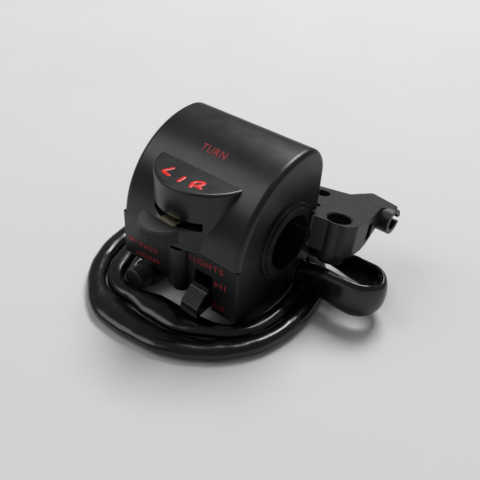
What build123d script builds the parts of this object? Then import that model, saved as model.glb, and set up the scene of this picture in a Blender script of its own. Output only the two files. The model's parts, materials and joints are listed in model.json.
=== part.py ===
from build123d import *
import os
from math import asin, cos, pi, radians, sin, sqrt, tan

# Handlebar switch cluster for the left grip, in millimetres.
# The origin is the centre of the bar's bore at mid-width. +X runs inboard along the bar,
# +Y points forward, away from the rider, and +Z is up. The two casing halves part at Z = 0.

# Casing
housing_width = 58.0
housing_front = 28.0
housing_back = 21.0
housing_top = 33.7
crown_back = 9.0
floor_depth = 30.0
back_straight = 4.0
wall = 2.3
end_round = 2.2
bar_radius = 11.15
tunnel_wall = 2.0
inner_lip_radius = 14.0
inner_lip_proud = 2.2
outer_lip_radius = 15.6
outer_lip_proud = 1.2
overrun = 5.0

# Hood over the turn switch, a standing cylinder that comes out of the drum
hood_radius = 20.5
hood_centre = 10.8
hood_top = 24.5
hood_wall = 2.2
hood_rim = 1.2
slot_bottom = 9.2
slot_top = 12.6
slot_half_width = 12.0

# Lower half: panel, column of the front screw, feet and the recess under the panel
panel_left_rise = 10.5
panel_right_rise = 7.0
foot_front = 27.0
foot_corner = 6.0
recess_front = 20.0
column_radius = 4.5
column_share = 0.0483
column_y = -27.5
column_top_drop = 0.8
column_bottom_rise = 11.5

# Screws that hold the halves together, from below
screw_radius = 2.0
screw_head_radius = 3.6
screw_head_height = 2.6
screw_reach = 7.0
screw_clearance = 0.1
head_clearance = 0.3
socket_radius = 1.6
socket_depth = 1.4
screw_boss_radius = 3.9
front_screw_y = -26.6
rear_screw_share = -0.138
rear_screw_y = 15.4
rear_seat_drop = 10.0

# Running and seating clearances
running_fit = 0.05
button_fit = 0.08
seat_fit = 0.03
touch_gap = 0.1
part_gap = 0.4

# Turn switch: everything turns about an upright pin at the hood's centre
turn_range = 20.0
strip_width = 6.8
strip_thickness = 1.0
strip_bottom = 10.2
strip_front = 37.6
strip_back = 15.2
knob_width = 17.2
knob_depth = 7.4
knob_back = 34.5
knob_offset = 1.5
knob_bottom = 5.5
knob_cover = 0.7
knob_cap_height = 1.1
knob_cap_proud = 0.35
flute_radius = 0.42
flute_count = 23
rotor_radius = 8.0
rotor_bottom = 13.7
rotor_height = 4.3
tongue_width = 8.6
tongue_front = 23.0
rivet_radius = 0.9
rivet_head_radius = 1.6
rivet_head_height = 0.6
rivet_near = 17.4
rivet_far = 21.0
pin_radius = 1.5
pin_head_radius = 2.7
pin_head_height = 0.8
pin_boss_radius = 3.4
pin_reach = 24.5
board_thickness = 1.6
board_width = 27.0
board_depth = 18.0
board_gap = 0.6
board_corner = 2.0
board_hole_clearance = 0.3
post_radius = 2.4
post_offset = 10.6
small_screw_radius = 1.25
small_head_radius = 2.2
small_head_height = 1.3
small_screw_reach = 4.0
contact_circle = 6.2
contact_radius = 1.2
contact_head = 0.25
contact_stem_radius = 0.6
contact_tail = 0.9
contact_angle = 36.0
wiper_thickness = 0.25
wiper_width = 2.2
wiper_angle = 34.0
detent_circle = 5.0
detent_ball_radius = 1.4
detent_entry = 0.25
detent_groove_radius = 1.0
detent_groove_depth = 0.45
detent_wire = 0.35
detent_spring_radius = 0.9
detent_turns = 3
detent_floor = 0.6

# Dimmer switch: a ribbed lever on a pin that lies along the bar
dimmer_width_share = 0.2759
dimmer_pivot_y = -21.5
dimmer_pivot_rise = 14.5
dimmer_hub_radius = 4.5
dimmer_reach = 14.5
dimmer_slot_gap = 0.3
dimmer_slot_rise = 22.2
dimmer_profile_shares = [
    (0.0, 0.31),
    (-0.55, 0.21),
    (-0.62, 0.12),
    (-0.97, -0.22),
    (-1.0, -0.33),
    (-0.98, -0.49),
    (-0.56, -0.41),
    (0.0, -0.31),
]
dimmer_rib_count = 6
dimmer_rib_radius = 0.45
dimmer_rib_start_share = 0.12
dimmer_rib_end_share = 0.9
dimmer_pin_radius = 1.25
frame_sheet = 0.8
frame_above = 4.2
frame_below = 4.6
frame_window_width_share = 0.62
frame_window_height_share = 0.85
dimmer_board_y = -15.2
dimmer_board_half_share = 0.4138
dimmer_board_side_gap = 1.2
dimmer_board_above = 4.6
dimmer_contact_pitch = 2.3
dimmer_contact_radius = 0.9
dimmer_contact_gap = 0.35

# Horn button: slides along Y in a moulded collar
horn_share = -0.5793
horn_rise = 5.7
horn_radius = 4.8
horn_face = 35.5
horn_head_back = 24.5
horn_edge = 0.7
horn_travel = 2.5
horn_stem_radius = 1.6
collar_wall = 0.7
collar_front = 29.0
horn_wire = 0.6
horn_spring_radius = 2.9
horn_spring_turns = 4
clip_thickness = 0.7
clip_radius = 3.2
plate_thickness = 0.6
plate_half_width = 5.0
plate_ear = 4.4
rib_thickness = 2.0
plate_height = 6.4

# Passing button: slides along Y in the back wall
pass_share = -0.6034
pass_z = -12.0
pass_radius = 4.2
pass_face = 24.3
pass_travel = 1.6
pass_guide_wall = 1.6
pass_guide_front = 21.5
pass_guide_back = 14.6
pass_flange_radius = 4.6
pass_flange_thickness = 1.0
pass_stem_radius = 1.2
pass_rib_face = 9.8
pass_wire = 0.4
pass_spring_radius = 2.6
pass_spring_turns = 2
pass_plate_half = 2.9

# Lever bracket: cast perch with mirror boss, lever fork and cable adjuster boss
bracket_tilt = 8.0
mirror_x = 39.6
mirror_y = 18.9
mirror_z = 6.0
mirror_hole_radius = 4.6
mirror_chamfer = 0.6
mirror_boss_radius = 5.7
mirror_boss_length = 17.5
bracket_height = 13.4
bracket_reach = 32.6
bracket_outline_shares = [
    (-0.313, -0.294),
    (-0.23, -0.202),
    (0.181, -0.132),
    (0.255, 0.003),
    (0.236, 0.38),
    (0.184, 0.712),
    (0.35, 0.911),
    (-0.098, 1.0),
    (-0.261, 0.7),
    (-0.632, 0.567),
    (-0.72, 0.45),
    (-0.72, 0.2),
    (-0.313, 0.1),
]
bracket_corner_share = 0.046
taper_start_share = 0.25
taper_end_share = 0.67
arm_thickness = 9.0
saddle_clearance = 0.25
end_clearance = 0.4
fork_lug = 3.0
fork_gap = 7.4
fork_front_share = 0.31
fork_right_share = 0.1
fork_back_share = 0.6
fork_back_right_share = -0.24
window_width = 5.0
window_front_share = 0.33
pivot_x_share = -0.5
pivot_y_share = 0.42
pivot_hole_radius = 3.05
adjuster_radius = 3.5
adjuster_boss_radius = 5.3
adjuster_boss_length = 17.5
adjuster_x_share = 0.07
adjuster_y_share = 0.81
adjuster_slit = 2.2
flange_thickness = 4.5
flange_top = 11.5
flange_bottom = -5.5
flange_left = -3.5
flange_step_x = 17.5
flange_corner = 2.0
bracket_screw_radius = 2.5
bracket_screw_head_radius = 4.6
bracket_screw_head_height = 2.6
bracket_screw_z = 6.0
bracket_screw_shares = [0.0862, 0.4138]
bracket_screw_reach = 7.0
bracket_boss_radius = 4.2

# Loom: gland in the right end wall, loop, coil on the floor, tail with its plug
loom_radius = 3.6
gland_y = 8.0
gland_z = -17.4
gland_neck_radius = 4.4
gland_inner_radius = 4.9
gland_flange_radius = 5.2
gland_flange_thickness = 1.3
gland_nose_radius = 4.6
gland_nose = 1.6
gland_fit = 0.03
lead_middle = [
    (42.5, 8.0, -17.4),
    (59.1, 7.2, -17.5),
    (64.2, 16.1, -17.7),
    (59.1, 25.0, -18.0),
    (43.0, 26.2, -18.1),
    (27.0, 25.9, -18.2),
    (15.0, 25.2, -18.2),
]
arc_share = 0.45
coil_centre_x = -3.0
coil_centre_y = -8.0
coil_entry_x = -8.0
coil_entry_height = 3.6
coil_entry_slope = 15.0
coil_start_radius = 33.2
coil_pitch = 8.9
coil_turns = 2
gap_samples_per_turn = 200
sleeve_radius = 3.3
sleeve_length = 11.0
loom_wire_radius = 0.85
loom_wire_circle = 1.85
loom_wire_count = 6
loom_wire_length = 9.0
plug_length = 19.0
plug_width = 17.0
plug_height = 8.0
plug_corner = 1.0
plug_wall = 1.2
plug_socket_depth = 6.0
plug_columns = 3
plug_rows = 2
plug_latch_length = 9.0
plug_latch_width = 5.0
plug_latch_height = 1.4

half_width = housing_width / 2
coil_z = loom_radius - floor_depth

# Heights in the lower half are measured from its floor, and places along the bar from the ends
panel_left_drop = floor_depth - panel_left_rise
panel_right_drop = floor_depth - panel_right_rise
column_bottom_drop = floor_depth - column_bottom_rise
dimmer_pivot_z = dimmer_pivot_rise - floor_depth
dimmer_slot_top = floor_depth - dimmer_slot_rise
horn_z = horn_rise - floor_depth
column_x = column_share * half_width
rear_screw_x = rear_screw_share * half_width
horn_x = horn_share * half_width
pass_x = pass_share * half_width
bracket_screw_xs = [share * half_width for share in bracket_screw_shares]
dimmer_width = dimmer_width_share * half_width
dimmer_board_half = dimmer_board_half_share * half_width
dimmer_x = half_width - wall - dimmer_board_side_gap - dimmer_board_half
os.makedirs("parts", exist_ok=True)


def save(builder, name):
    builder.part.label = name
    export_step(builder.part, "parts/" + name + ".step")


def along_x(y, z, start):
    """A plane across the bar's direction, so that extrusions run along +X."""
    return Plane(origin=(start, y, z), x_dir=(0, 1, 0), z_dir=(1, 0, 0))


def along_y(x, z, start):
    """A plane that faces +Y, with its own x along +X."""
    return Plane(origin=(x, start, z), x_dir=(1, 0, 0), z_dir=(0, 1, 0))


def rod(plane, radius, length, mode=Mode.ADD):
    """A round bar on a plane, inside the builder that is open."""
    with BuildSketch(plane) as section:
        Circle(radius)
    extrude(section.sketch, amount=length, mode=mode)


def block(x_low, x_high, y_low, y_high, z_low, z_high, mode=Mode.ADD):
    """A block between two corners, inside the builder that is open."""
    with BuildSketch(Plane.XY.offset(z_low)) as section:
        with Locations(((x_low + x_high) / 2, (y_low + y_high) / 2)):
            Rectangle(x_high - x_low, y_high - y_low)
    extrude(section.sketch, amount=z_high - z_low, mode=mode)


def add_biarc(start, start_way, end, end_way):
    """Two arcs from start to end, tangent to each other and to both given directions."""
    chord = end - start
    ways = start_way + end_way
    opening = 2 * (1 - start_way.dot(end_way))
    slope = chord.dot(ways)
    reach = (sqrt(slope * slope + opening * chord.dot(chord)) - slope) / opening
    near = start + start_way * reach
    far = end - end_way * reach
    joint = (near + far) / 2
    TangentArc(start, joint, tangent=start_way)
    TangentArc(joint, end, tangent=(far - near).normalized())


def add_coil_spring(plane, length, radius, wire, turns):
    """A round-wire compression spring from the plane along its normal, inside the open builder."""
    pitch = (length - wire) / turns
    points = []
    ways = []
    for half_turn in range(2 * turns + 1):
        angle = pi * half_turn
        here = Vector(radius * cos(angle), radius * sin(angle), wire / 2 + pitch * half_turn / 2)
        way = Vector(-radius * sin(angle), radius * cos(angle), pitch / (2 * pi)).normalized()
        points.append(plane.from_local_coords(here))
        ways.append(plane.from_local_coords(here + way) - plane.from_local_coords(here))
    with BuildLine() as spring_path:
        for index in range(2 * turns):
            add_biarc(points[index], ways[index], points[index + 1], ways[index + 1])
    with BuildSketch(Plane(origin=points[0], z_dir=ways[0])) as section:
        Circle(wire / 2)
    sweep(section.sketch, path=spring_path.line)


# Upper casing half

def upper_outline(inset):
    """Section of the drum across the bar, drawn in by the inset, inside the open sketch."""
    front = housing_front - inset
    top = housing_top - inset
    back = housing_back - inset
    shoulder = top - (back - crown_back)
    with BuildLine() as outline:
        TangentArc((crown_back, top), (-front, 0), tangent=(-1, 0))
        TangentArc((crown_back, top), (back, shoulder), tangent=(1, 0))
        Polyline((back, shoulder), (back, 0), (-front, 0))
    make_face(outline.edges())


def add_lips(is_upper):
    """Two stepped rings round the bore on each end face, cut off at the parting plane."""
    for side in (-1, 1):
        for lip_radius, proud in ((inner_lip_radius, inner_lip_proud), (outer_lip_radius, outer_lip_proud)):
            with BuildSketch(along_x(0, 0, side * (half_width - wall))) as ring:
                Circle(lip_radius)
                with Locations((0, -lip_radius if is_upper else lip_radius)):
                    Rectangle(2 * lip_radius, 2 * lip_radius, mode=Mode.SUBTRACT)
            extrude(ring.sketch, amount=side * (wall + proud))


turn_board_bottom = rotor_bottom + rotor_height + board_gap
turn_board_top = turn_board_bottom + board_thickness
boss_height = screw_reach + wall / 2

with BuildPart() as upper_cavity:
    with BuildSketch(Plane.YZ.offset(wall - half_width)):
        upper_outline(wall)
    extrude(amount=housing_width - 2 * wall)
    with BuildSketch(Plane.XY):
        with Locations((0, -hood_centre)):
            Circle(hood_radius - hood_wall)
    extrude(amount=hood_top - hood_wall)
    rod(along_x(0, 0, -half_width), bar_radius + tunnel_wall, housing_width, Mode.SUBTRACT)
    for boss_x, boss_y in ((column_x, front_screw_y), (rear_screw_x, rear_screw_y)):
        with BuildSketch(Plane.XY):
            with Locations((boss_x, boss_y)):
                Circle(screw_boss_radius)
        extrude(amount=boss_height, mode=Mode.SUBTRACT)
    with BuildSketch(Plane.XY.offset(turn_board_top)):
        with Locations((0, -hood_centre)):
            Circle(pin_boss_radius)
        with Locations((-post_offset, -hood_centre), (post_offset, -hood_centre)):
            Circle(post_radius)
    extrude(amount=housing_top, mode=Mode.SUBTRACT)
    for screw_x in bracket_screw_xs:
        rod(along_y(screw_x, bracket_screw_z, housing_back - bracket_screw_reach - wall / 2),
            bracket_boss_radius, housing_back, Mode.SUBTRACT)

with BuildPart() as upper_housing:
    with BuildSketch(Plane.XY):
        with Locations((0, -hood_centre)):
            Circle(hood_radius)
    extrude(amount=hood_top)
    fillet(upper_housing.edges().group_by(Axis.Z)[-1], radius=hood_rim)
    with BuildSketch(Plane.YZ.offset(-half_width)):
        upper_outline(0)
    extrude(amount=housing_width)
    end_edges = upper_housing.edges().group_by(Axis.X)[0] + upper_housing.edges().group_by(Axis.X)[-1]
    fillet(end_edges.filter_by(lambda edge: edge.center().Z > end_round), radius=end_round)
    add(upper_cavity.part, mode=Mode.SUBTRACT)
    add_lips(True)
    rod(along_x(0, 0, -housing_width), bar_radius, 2 * housing_width, Mode.SUBTRACT)
    block(-slot_half_width, slot_half_width, -hood_centre - hood_radius - overrun,
          -hood_centre - hood_radius * cos(asin(slot_half_width / hood_radius)) + hood_wall,
          slot_bottom, slot_top, Mode.SUBTRACT)
    for hole_x, hole_y in ((column_x, front_screw_y), (rear_screw_x, rear_screw_y)):
        with BuildSketch(Plane.XY):
            with Locations((hole_x, hole_y)):
                Circle(screw_radius + screw_clearance)
        extrude(amount=screw_reach, mode=Mode.SUBTRACT)
    with BuildSketch(Plane.XY.offset(turn_board_top)):
        with Locations((0, -hood_centre)):
            Circle(pin_radius + seat_fit)
    extrude(amount=pin_reach - turn_board_top, mode=Mode.SUBTRACT)
    with BuildSketch(Plane.XY.offset(turn_board_top)):
        with Locations((-post_offset, -hood_centre), (post_offset, -hood_centre)):
            Circle(small_screw_radius + seat_fit)
    extrude(amount=small_screw_reach, mode=Mode.SUBTRACT)
    for screw_x in bracket_screw_xs:
        rod(along_y(screw_x, bracket_screw_z, housing_back - bracket_screw_reach),
            bracket_screw_radius + screw_clearance, housing_back, Mode.SUBTRACT)
save(upper_housing, "upper_housing")


# Lower casing half

lower_curve = floor_depth - back_straight


def lower_outline(inset):
    """Section of the lower half across the bar, with its foot, inside the open sketch."""
    front = housing_front - inset
    foot = foot_front - inset
    bottom = floor_depth - inset
    back = housing_back - inset
    curve = lower_curve - inset
    with BuildLine() as outline:
        Polyline((-front, 0), (-front, -panel_right_drop), (-foot, -panel_right_drop), (-foot, -bottom),
                 (back - curve, -bottom))
        TangentArc((back - curve, -bottom), (back, curve - bottom), tangent=(1, 0))
        Polyline((back, curve - bottom), (back, 0), (-front, 0))
    make_face(outline.edges())


def upright_rods(radius, places, top, bottom, mode):
    """Round posts at the places, between two heights, inside the open builder."""
    with BuildSketch(Plane.XY.offset(bottom)) as section:
        with Locations(*places):
            Circle(radius)
    extrude(section.sketch, amount=top - bottom, mode=mode)


dimmer_left = dimmer_x - dimmer_width / 2
dimmer_right = dimmer_x + dimmer_width / 2
cheek_left = dimmer_left - part_gap
cheek_right = dimmer_right + part_gap
panel_inside = wall - housing_front
recess_inside = wall - recess_front
panel_step = column_x + column_radius
collar_radius = horn_radius + button_fit + collar_wall
pass_guide_radius = pass_radius + button_fit + pass_guide_wall
post_xs = (dimmer_x - dimmer_board_half + post_radius, dimmer_x + dimmer_board_half - post_radius)
horn_rest = recess_inside + clip_thickness + touch_gap / 2
horn_stem_end = horn_rest + clip_thickness
horn_plate_face = horn_stem_end + horn_travel + touch_gap
horn_plate_back = horn_plate_face + plate_thickness
horn_screw_x = horn_x + plate_half_width + plate_ear / 2
inner_floor = wall - floor_depth
pass_plate_face = pass_rib_face + plate_thickness
pass_screw_x = pass_x - pass_plate_half - plate_ear / 2

with BuildPart() as lower_cavity:
    with BuildSketch(Plane.YZ.offset(wall - half_width)):
        lower_outline(wall)
    extrude(amount=housing_width - 2 * wall)
    block(-half_width, panel_step + wall, -housing_front, recess_inside, -floor_depth,
          wall - panel_left_drop, Mode.SUBTRACT)
    block(panel_step, half_width, -housing_front, recess_inside, -floor_depth,
          wall - panel_right_drop, Mode.SUBTRACT)
    rod(along_x(0, 0, -half_width), bar_radius + tunnel_wall, housing_width, Mode.SUBTRACT)
    upright_rods(column_radius, [(column_x, column_y)], 0, -floor_depth, Mode.SUBTRACT)
    upright_rods(screw_boss_radius + wall / 2, [(rear_screw_x, rear_screw_y)], 0, -floor_depth,
                 Mode.SUBTRACT)
    for post_x in post_xs:
        rod(along_y(post_x, dimmer_pivot_z, -housing_front), post_radius,
            dimmer_board_y + housing_front, Mode.SUBTRACT)
    block(horn_x - plate_half_width, horn_x + plate_half_width + plate_ear, horn_plate_back,
          horn_plate_back + rib_thickness, -floor_depth, inner_floor + plate_height, Mode.SUBTRACT)
    rod(along_y(pass_x, pass_z, pass_guide_back), pass_guide_radius, housing_back, Mode.SUBTRACT)
    block(pass_x - pass_plate_half - plate_ear, pass_x + pass_plate_half, pass_rib_face - rib_thickness,
          pass_rib_face, -floor_depth, pass_z + pass_plate_half, Mode.SUBTRACT)

with BuildPart() as lower_housing:
    with BuildSketch(Plane.YZ.offset(-half_width)):
        lower_outline(0)
    extrude(amount=housing_width)
    block(-half_width - overrun, panel_step, -housing_front - overrun, -recess_front,
          -floor_depth - overrun, -panel_left_drop, Mode.SUBTRACT)
    block(panel_step, half_width - wall, -housing_front - overrun, -recess_front,
          -floor_depth - overrun, -panel_right_drop, Mode.SUBTRACT)
    with BuildSketch(Plane.XY.offset(-floor_depth)):
        with Locations((half_width - foot_corner / 2, foot_corner / 2 - foot_front)):
            Rectangle(foot_corner, foot_corner)
        with Locations((half_width - foot_corner, foot_corner - foot_front)):
            Circle(foot_corner, mode=Mode.SUBTRACT)
    extrude(amount=floor_depth - panel_right_drop, mode=Mode.SUBTRACT)
    upright_rods(column_radius, [(column_x, column_y)], -column_top_drop, -column_bottom_drop, Mode.ADD)
    add(lower_cavity.part, mode=Mode.SUBTRACT)
    rod(along_y(horn_x, horn_z, -collar_front), collar_radius, collar_front - recess_front)
    with BuildSketch(along_y(pass_x, pass_z, pass_guide_back)):
        Circle(pass_guide_radius)
    extrude(amount=pass_guide_front - pass_guide_back)
    add_lips(False)
    rod(along_x(0, 0, -housing_width), bar_radius, 2 * housing_width, Mode.SUBTRACT)
    upright_rods(screw_radius + screw_clearance, [(column_x, front_screw_y), (rear_screw_x, rear_screw_y)],
                 0, -floor_depth - overrun, Mode.SUBTRACT)
    upright_rods(screw_head_radius + head_clearance, [(column_x, front_screw_y)],
                 -column_bottom_drop, -floor_depth - overrun, Mode.SUBTRACT)
    upright_rods(screw_head_radius + head_clearance, [(rear_screw_x, rear_screw_y)],
                 -rear_seat_drop, -floor_depth - overrun, Mode.SUBTRACT)
    block(dimmer_left - dimmer_slot_gap, dimmer_right + dimmer_slot_gap, -housing_front - overrun,
          recess_inside + overrun, -panel_right_drop - overrun, -dimmer_slot_top, Mode.SUBTRACT)
    rod(along_y(horn_x, horn_z, -housing_front - overrun), horn_radius + button_fit,
        housing_front + overrun - recess_front, Mode.SUBTRACT)
    rod(along_y(horn_x, horn_z, -housing_front), horn_stem_radius + button_fit,
        housing_front + recess_inside + overrun, Mode.SUBTRACT)
    rod(along_y(pass_x, pass_z, pass_guide_back - overrun), pass_radius + button_fit,
        housing_back, Mode.SUBTRACT)
    for post_x in post_xs:
        rod(along_y(post_x, dimmer_pivot_z, dimmer_board_y - small_screw_reach),
            small_screw_radius + seat_fit, small_screw_reach, Mode.SUBTRACT)
    rod(along_y(horn_screw_x, horn_z, horn_plate_back), small_screw_radius + seat_fit,
        rib_thickness, Mode.SUBTRACT)
    rod(along_y(pass_screw_x, pass_z, pass_rib_face - rib_thickness),
        small_screw_radius + seat_fit, rib_thickness, Mode.SUBTRACT)
    rod(along_x(gland_y, gland_z, half_width - wall - overrun), gland_neck_radius + gland_fit,
        wall + 2 * overrun, Mode.SUBTRACT)
    rod(along_x(gland_y, gland_z, half_width), gland_flange_radius + gland_fit, overrun, Mode.SUBTRACT)
save(lower_housing, "lower_housing")


# Housing screws: pan heads with a hexagonal socket, driven upwards

def add_screw(plane, radius, length, head_radius, head_height, socket):
    """A screw whose head stands on the plane's back and whose shank runs along its normal."""
    rod(plane, radius, length)
    with BuildSketch(plane) as head:
        Circle(head_radius)
    extrude(head.sketch, amount=-head_height)
    with BuildSketch(plane.offset(-head_height)) as recess:
        RegularPolygon(socket, 6)
    extrude(recess.sketch, amount=head_height / 2, mode=Mode.SUBTRACT)


with BuildPart() as housing_screws:
    add_screw(Plane((column_x, front_screw_y, -column_bottom_drop)), screw_radius,
              column_bottom_drop + screw_reach, screw_head_radius, screw_head_height, socket_radius)
    add_screw(Plane((rear_screw_x, rear_screw_y, -rear_seat_drop)), screw_radius,
              rear_seat_drop + screw_reach, screw_head_radius, screw_head_height, socket_radius)
save(housing_screws, "housing_screws")


# Turn switch

strip_top = strip_bottom + strip_thickness
rotor_top = rotor_bottom + rotor_height
knob_top = strip_top + knob_cover


def on_turn_axis(height):
    """A level plane on the turn switch's upright axis, its own y pointing away from the rider."""
    return Plane(origin=(0, -hood_centre, height))


with BuildPart() as turn_knob:
    with BuildSketch(Plane.XY.offset(knob_bottom)) as grip:
        with BuildLine() as rim:
            chord = Line((-knob_width / 2 - knob_offset, -knob_back),
                         (knob_width / 2 - knob_offset, -knob_back))
            arc = ThreePointArc(chord @ 1, (-knob_offset, -knob_back - knob_depth), chord @ 0)
        make_face()
        flute_places = []
        for flute in range(flute_count):
            flute_places.append(arc @ ((2 * flute + 1) / (2 * flute_count)))
        with Locations(*flute_places):
            Circle(flute_radius, mode=Mode.SUBTRACT)
    extrude(amount=knob_top - knob_cap_height - knob_bottom)
    with BuildSketch(Plane.XY.offset(knob_top - knob_cap_height)):
        with BuildLine():
            cap_chord = Line((-knob_width / 2 - knob_offset - knob_cap_proud, -knob_back),
                             (knob_width / 2 - knob_offset + knob_cap_proud, -knob_back))
            ThreePointArc(cap_chord @ 1, (-knob_offset, -knob_back - knob_depth - knob_cap_proud),
                          cap_chord @ 0)
        make_face()
    extrude(amount=knob_cap_height)
    fillet(turn_knob.edges().group_by(Axis.Z)[-1], radius=knob_cap_proud)
    block(-strip_width / 2 - seat_fit, strip_width / 2 + seat_fit, -strip_front - seat_fit,
          -knob_back + overrun, strip_bottom - seat_fit, strip_top + seat_fit, Mode.SUBTRACT)
save(turn_knob, "turn_knob")

with BuildPart() as turn_lever:
    with BuildSketch(Plane.XY.offset(strip_bottom)):
        with Locations((0, -(strip_front + strip_back) / 2)):
            Rectangle(strip_width, strip_front - strip_back)
        with Locations((0, -rivet_near), (0, -rivet_far)):
            Circle(rivet_radius + seat_fit, mode=Mode.SUBTRACT)
    extrude(amount=strip_thickness)
save(turn_lever, "turn_lever")

detent_hole_depth = rotor_height - detent_floor
ball_centre_z = turn_board_bottom + detent_entry - detent_ball_radius
detent_spring_base = rotor_bottom + detent_floor

with BuildPart() as turn_rotor:
    with BuildSketch(on_turn_axis(rotor_bottom)):
        Circle(rotor_radius)
        with Locations((0, (hood_centre - tongue_front) / 2)):
            Rectangle(tongue_width, tongue_front - hood_centre)
        Circle(pin_radius + running_fit, mode=Mode.SUBTRACT)
    extrude(amount=rotor_height)
    block(-tongue_width / 2, tongue_width / 2, -tongue_front, -strip_back, strip_top, rotor_bottom)
    with BuildSketch(Plane.XY.offset(strip_top)):
        with Locations((0, -rivet_near), (0, -rivet_far)):
            Circle(rivet_radius + seat_fit)
    extrude(amount=rotor_top, mode=Mode.SUBTRACT)
    with BuildSketch(on_turn_axis(detent_spring_base)):
        with Locations((0, detent_circle)):
            Circle(detent_ball_radius + running_fit)
    extrude(amount=rotor_height, mode=Mode.SUBTRACT)
save(turn_rotor, "turn_rotor")

with BuildPart() as turn_rivets:
    for rivet_y in (-rivet_near, -rivet_far):
        low = Plane(origin=(0, rivet_y, strip_bottom))
        rod(low, rivet_radius, rotor_top - strip_bottom)
        rod(low.offset(-rivet_head_height), rivet_head_radius, rivet_head_height)
save(turn_rivets, "turn_rivets")

with BuildPart() as turn_pivot_pin:
    rod(on_turn_axis(rotor_bottom - touch_gap), pin_radius, pin_reach - rotor_bottom + touch_gap - part_gap)
    rod(on_turn_axis(rotor_bottom - touch_gap - pin_head_height), pin_head_radius, pin_head_height)
save(turn_pivot_pin, "turn_pivot_pin")


def contact_places(radius, angles):
    """Places on a circle about the turn axis, with angles counted from the rider's side."""
    places = []
    for angle in angles:
        places.append((radius * sin(radians(angle)), -radius * cos(radians(angle))))
    return places


contact_angles = (-contact_angle, 0, contact_angle)

detent_groove = CenterArc((0, 0), detent_circle, 90 - 3 * turn_range / 2, 3 * turn_range)
wiper_track = CenterArc((0, 0), contact_circle, 270 - wiper_angle / 2, wiper_angle)

with BuildPart() as turn_base:
    with BuildSketch(on_turn_axis(turn_board_bottom)):
        RectangleRounded(board_width, board_depth, board_corner)
        Circle(pin_radius + board_hole_clearance, mode=Mode.SUBTRACT)
        with Locations((-post_offset, 0), (post_offset, 0)):
            Circle(small_screw_radius + seat_fit, mode=Mode.SUBTRACT)
        with Locations(*contact_places(contact_circle, contact_angles)):
            Circle(contact_stem_radius + seat_fit, mode=Mode.SUBTRACT)
    extrude(amount=board_thickness)
    with BuildSketch(on_turn_axis(turn_board_bottom)):
        SlotArc(detent_groove, 2 * detent_groove_radius)
    extrude(amount=detent_groove_depth, mode=Mode.SUBTRACT)
save(turn_base, "turn_base")

with BuildPart() as turn_contacts:
    with BuildSketch(on_turn_axis(turn_board_bottom - contact_head)):
        with Locations(*contact_places(contact_circle, contact_angles)):
            Circle(contact_radius)
    extrude(amount=contact_head)
    with BuildSketch(on_turn_axis(turn_board_bottom)):
        with Locations(*contact_places(contact_circle, contact_angles)):
            Circle(contact_stem_radius)
    extrude(amount=board_thickness + contact_tail)
save(turn_contacts, "turn_contacts")

with BuildPart() as turn_wiper:
    with BuildSketch(on_turn_axis(rotor_top)):
        SlotArc(wiper_track, wiper_width)
    extrude(amount=wiper_thickness)
save(turn_wiper, "turn_wiper")

with BuildPart() as turn_detent_ball:
    with Locations((0, detent_circle - hood_centre, ball_centre_z)):
        Sphere(detent_ball_radius)
save(turn_detent_ball, "turn_detent_ball")

with BuildPart() as turn_detent_spring:
    add_coil_spring(Plane(origin=(0, detent_circle - hood_centre, detent_spring_base)),
                    ball_centre_z - detent_ball_radius * cos(asin(detent_spring_radius / detent_ball_radius))
                    - detent_spring_base - touch_gap / 2, detent_spring_radius, detent_wire, detent_turns)
save(turn_detent_spring, "turn_detent_spring")

with BuildPart() as turn_base_screws:
    for screw_x in (-post_offset, post_offset):
        add_screw(Plane(origin=(screw_x, -hood_centre, turn_board_bottom)), small_screw_radius,
                  board_thickness + small_screw_reach - part_gap, small_head_radius, small_head_height,
                  small_screw_radius / 2)
save(turn_base_screws, "turn_base_screws")


# Dimmer switch

def on_dimmer_axis(x):
    """A plane across the dimmer's pin, its own x along +Y and its own y along +Z."""
    return Plane(origin=(x, dimmer_pivot_y, dimmer_pivot_z), x_dir=(0, 1, 0), z_dir=(1, 0, 0))


dimmer_points = []
for y_share, z_share in dimmer_profile_shares:
    dimmer_points.append((y_share * dimmer_reach, z_share * dimmer_reach))
rib_low = Vector(*dimmer_points[2])
rib_high = Vector(*dimmer_points[3])

with BuildPart() as dimmer_lever:
    with BuildSketch(on_dimmer_axis(dimmer_left)):
        with BuildLine():
            Polyline(*dimmer_points, close=True)
        make_face()
        Circle(dimmer_hub_radius)
        rib_places = []
        for rib in range(dimmer_rib_count):
            share = rib / (dimmer_rib_count - 1)
            along = dimmer_rib_start_share + (dimmer_rib_end_share - dimmer_rib_start_share) * share
            rib_places.append(rib_low + (rib_high - rib_low) * along)
        with Locations(*rib_places):
            Circle(dimmer_rib_radius)
        Circle(dimmer_pin_radius + running_fit, mode=Mode.SUBTRACT)
    extrude(amount=dimmer_width)
save(dimmer_lever, "dimmer_lever")

with BuildPart() as dimmer_pivot_pin:
    rod(on_dimmer_axis(cheek_left - frame_sheet), dimmer_pin_radius,
        cheek_right - cheek_left + 2 * frame_sheet)
save(dimmer_pivot_pin, "dimmer_pivot_pin")

with BuildPart() as dimmer_frame:
    for cheek in (cheek_left - frame_sheet, cheek_right):
        block(cheek, cheek + frame_sheet, panel_inside, dimmer_board_y, dimmer_pivot_z - frame_below,
              dimmer_pivot_z + frame_above)
    block(cheek_left, cheek_right, dimmer_board_y - frame_sheet, dimmer_board_y,
          dimmer_pivot_z - frame_below, dimmer_pivot_z + frame_above)
    block(dimmer_x - frame_window_width_share * dimmer_width / 2,
          dimmer_x + frame_window_width_share * dimmer_width / 2, dimmer_board_y - overrun,
          dimmer_board_y + overrun, dimmer_pivot_z - frame_below * frame_window_height_share,
          dimmer_pivot_z + frame_above * frame_window_height_share, Mode.SUBTRACT)
    rod(on_dimmer_axis(cheek_left - overrun), dimmer_pin_radius + seat_fit,
        cheek_right - cheek_left + 2 * overrun, Mode.SUBTRACT)
save(dimmer_frame, "dimmer_frame")

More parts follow.
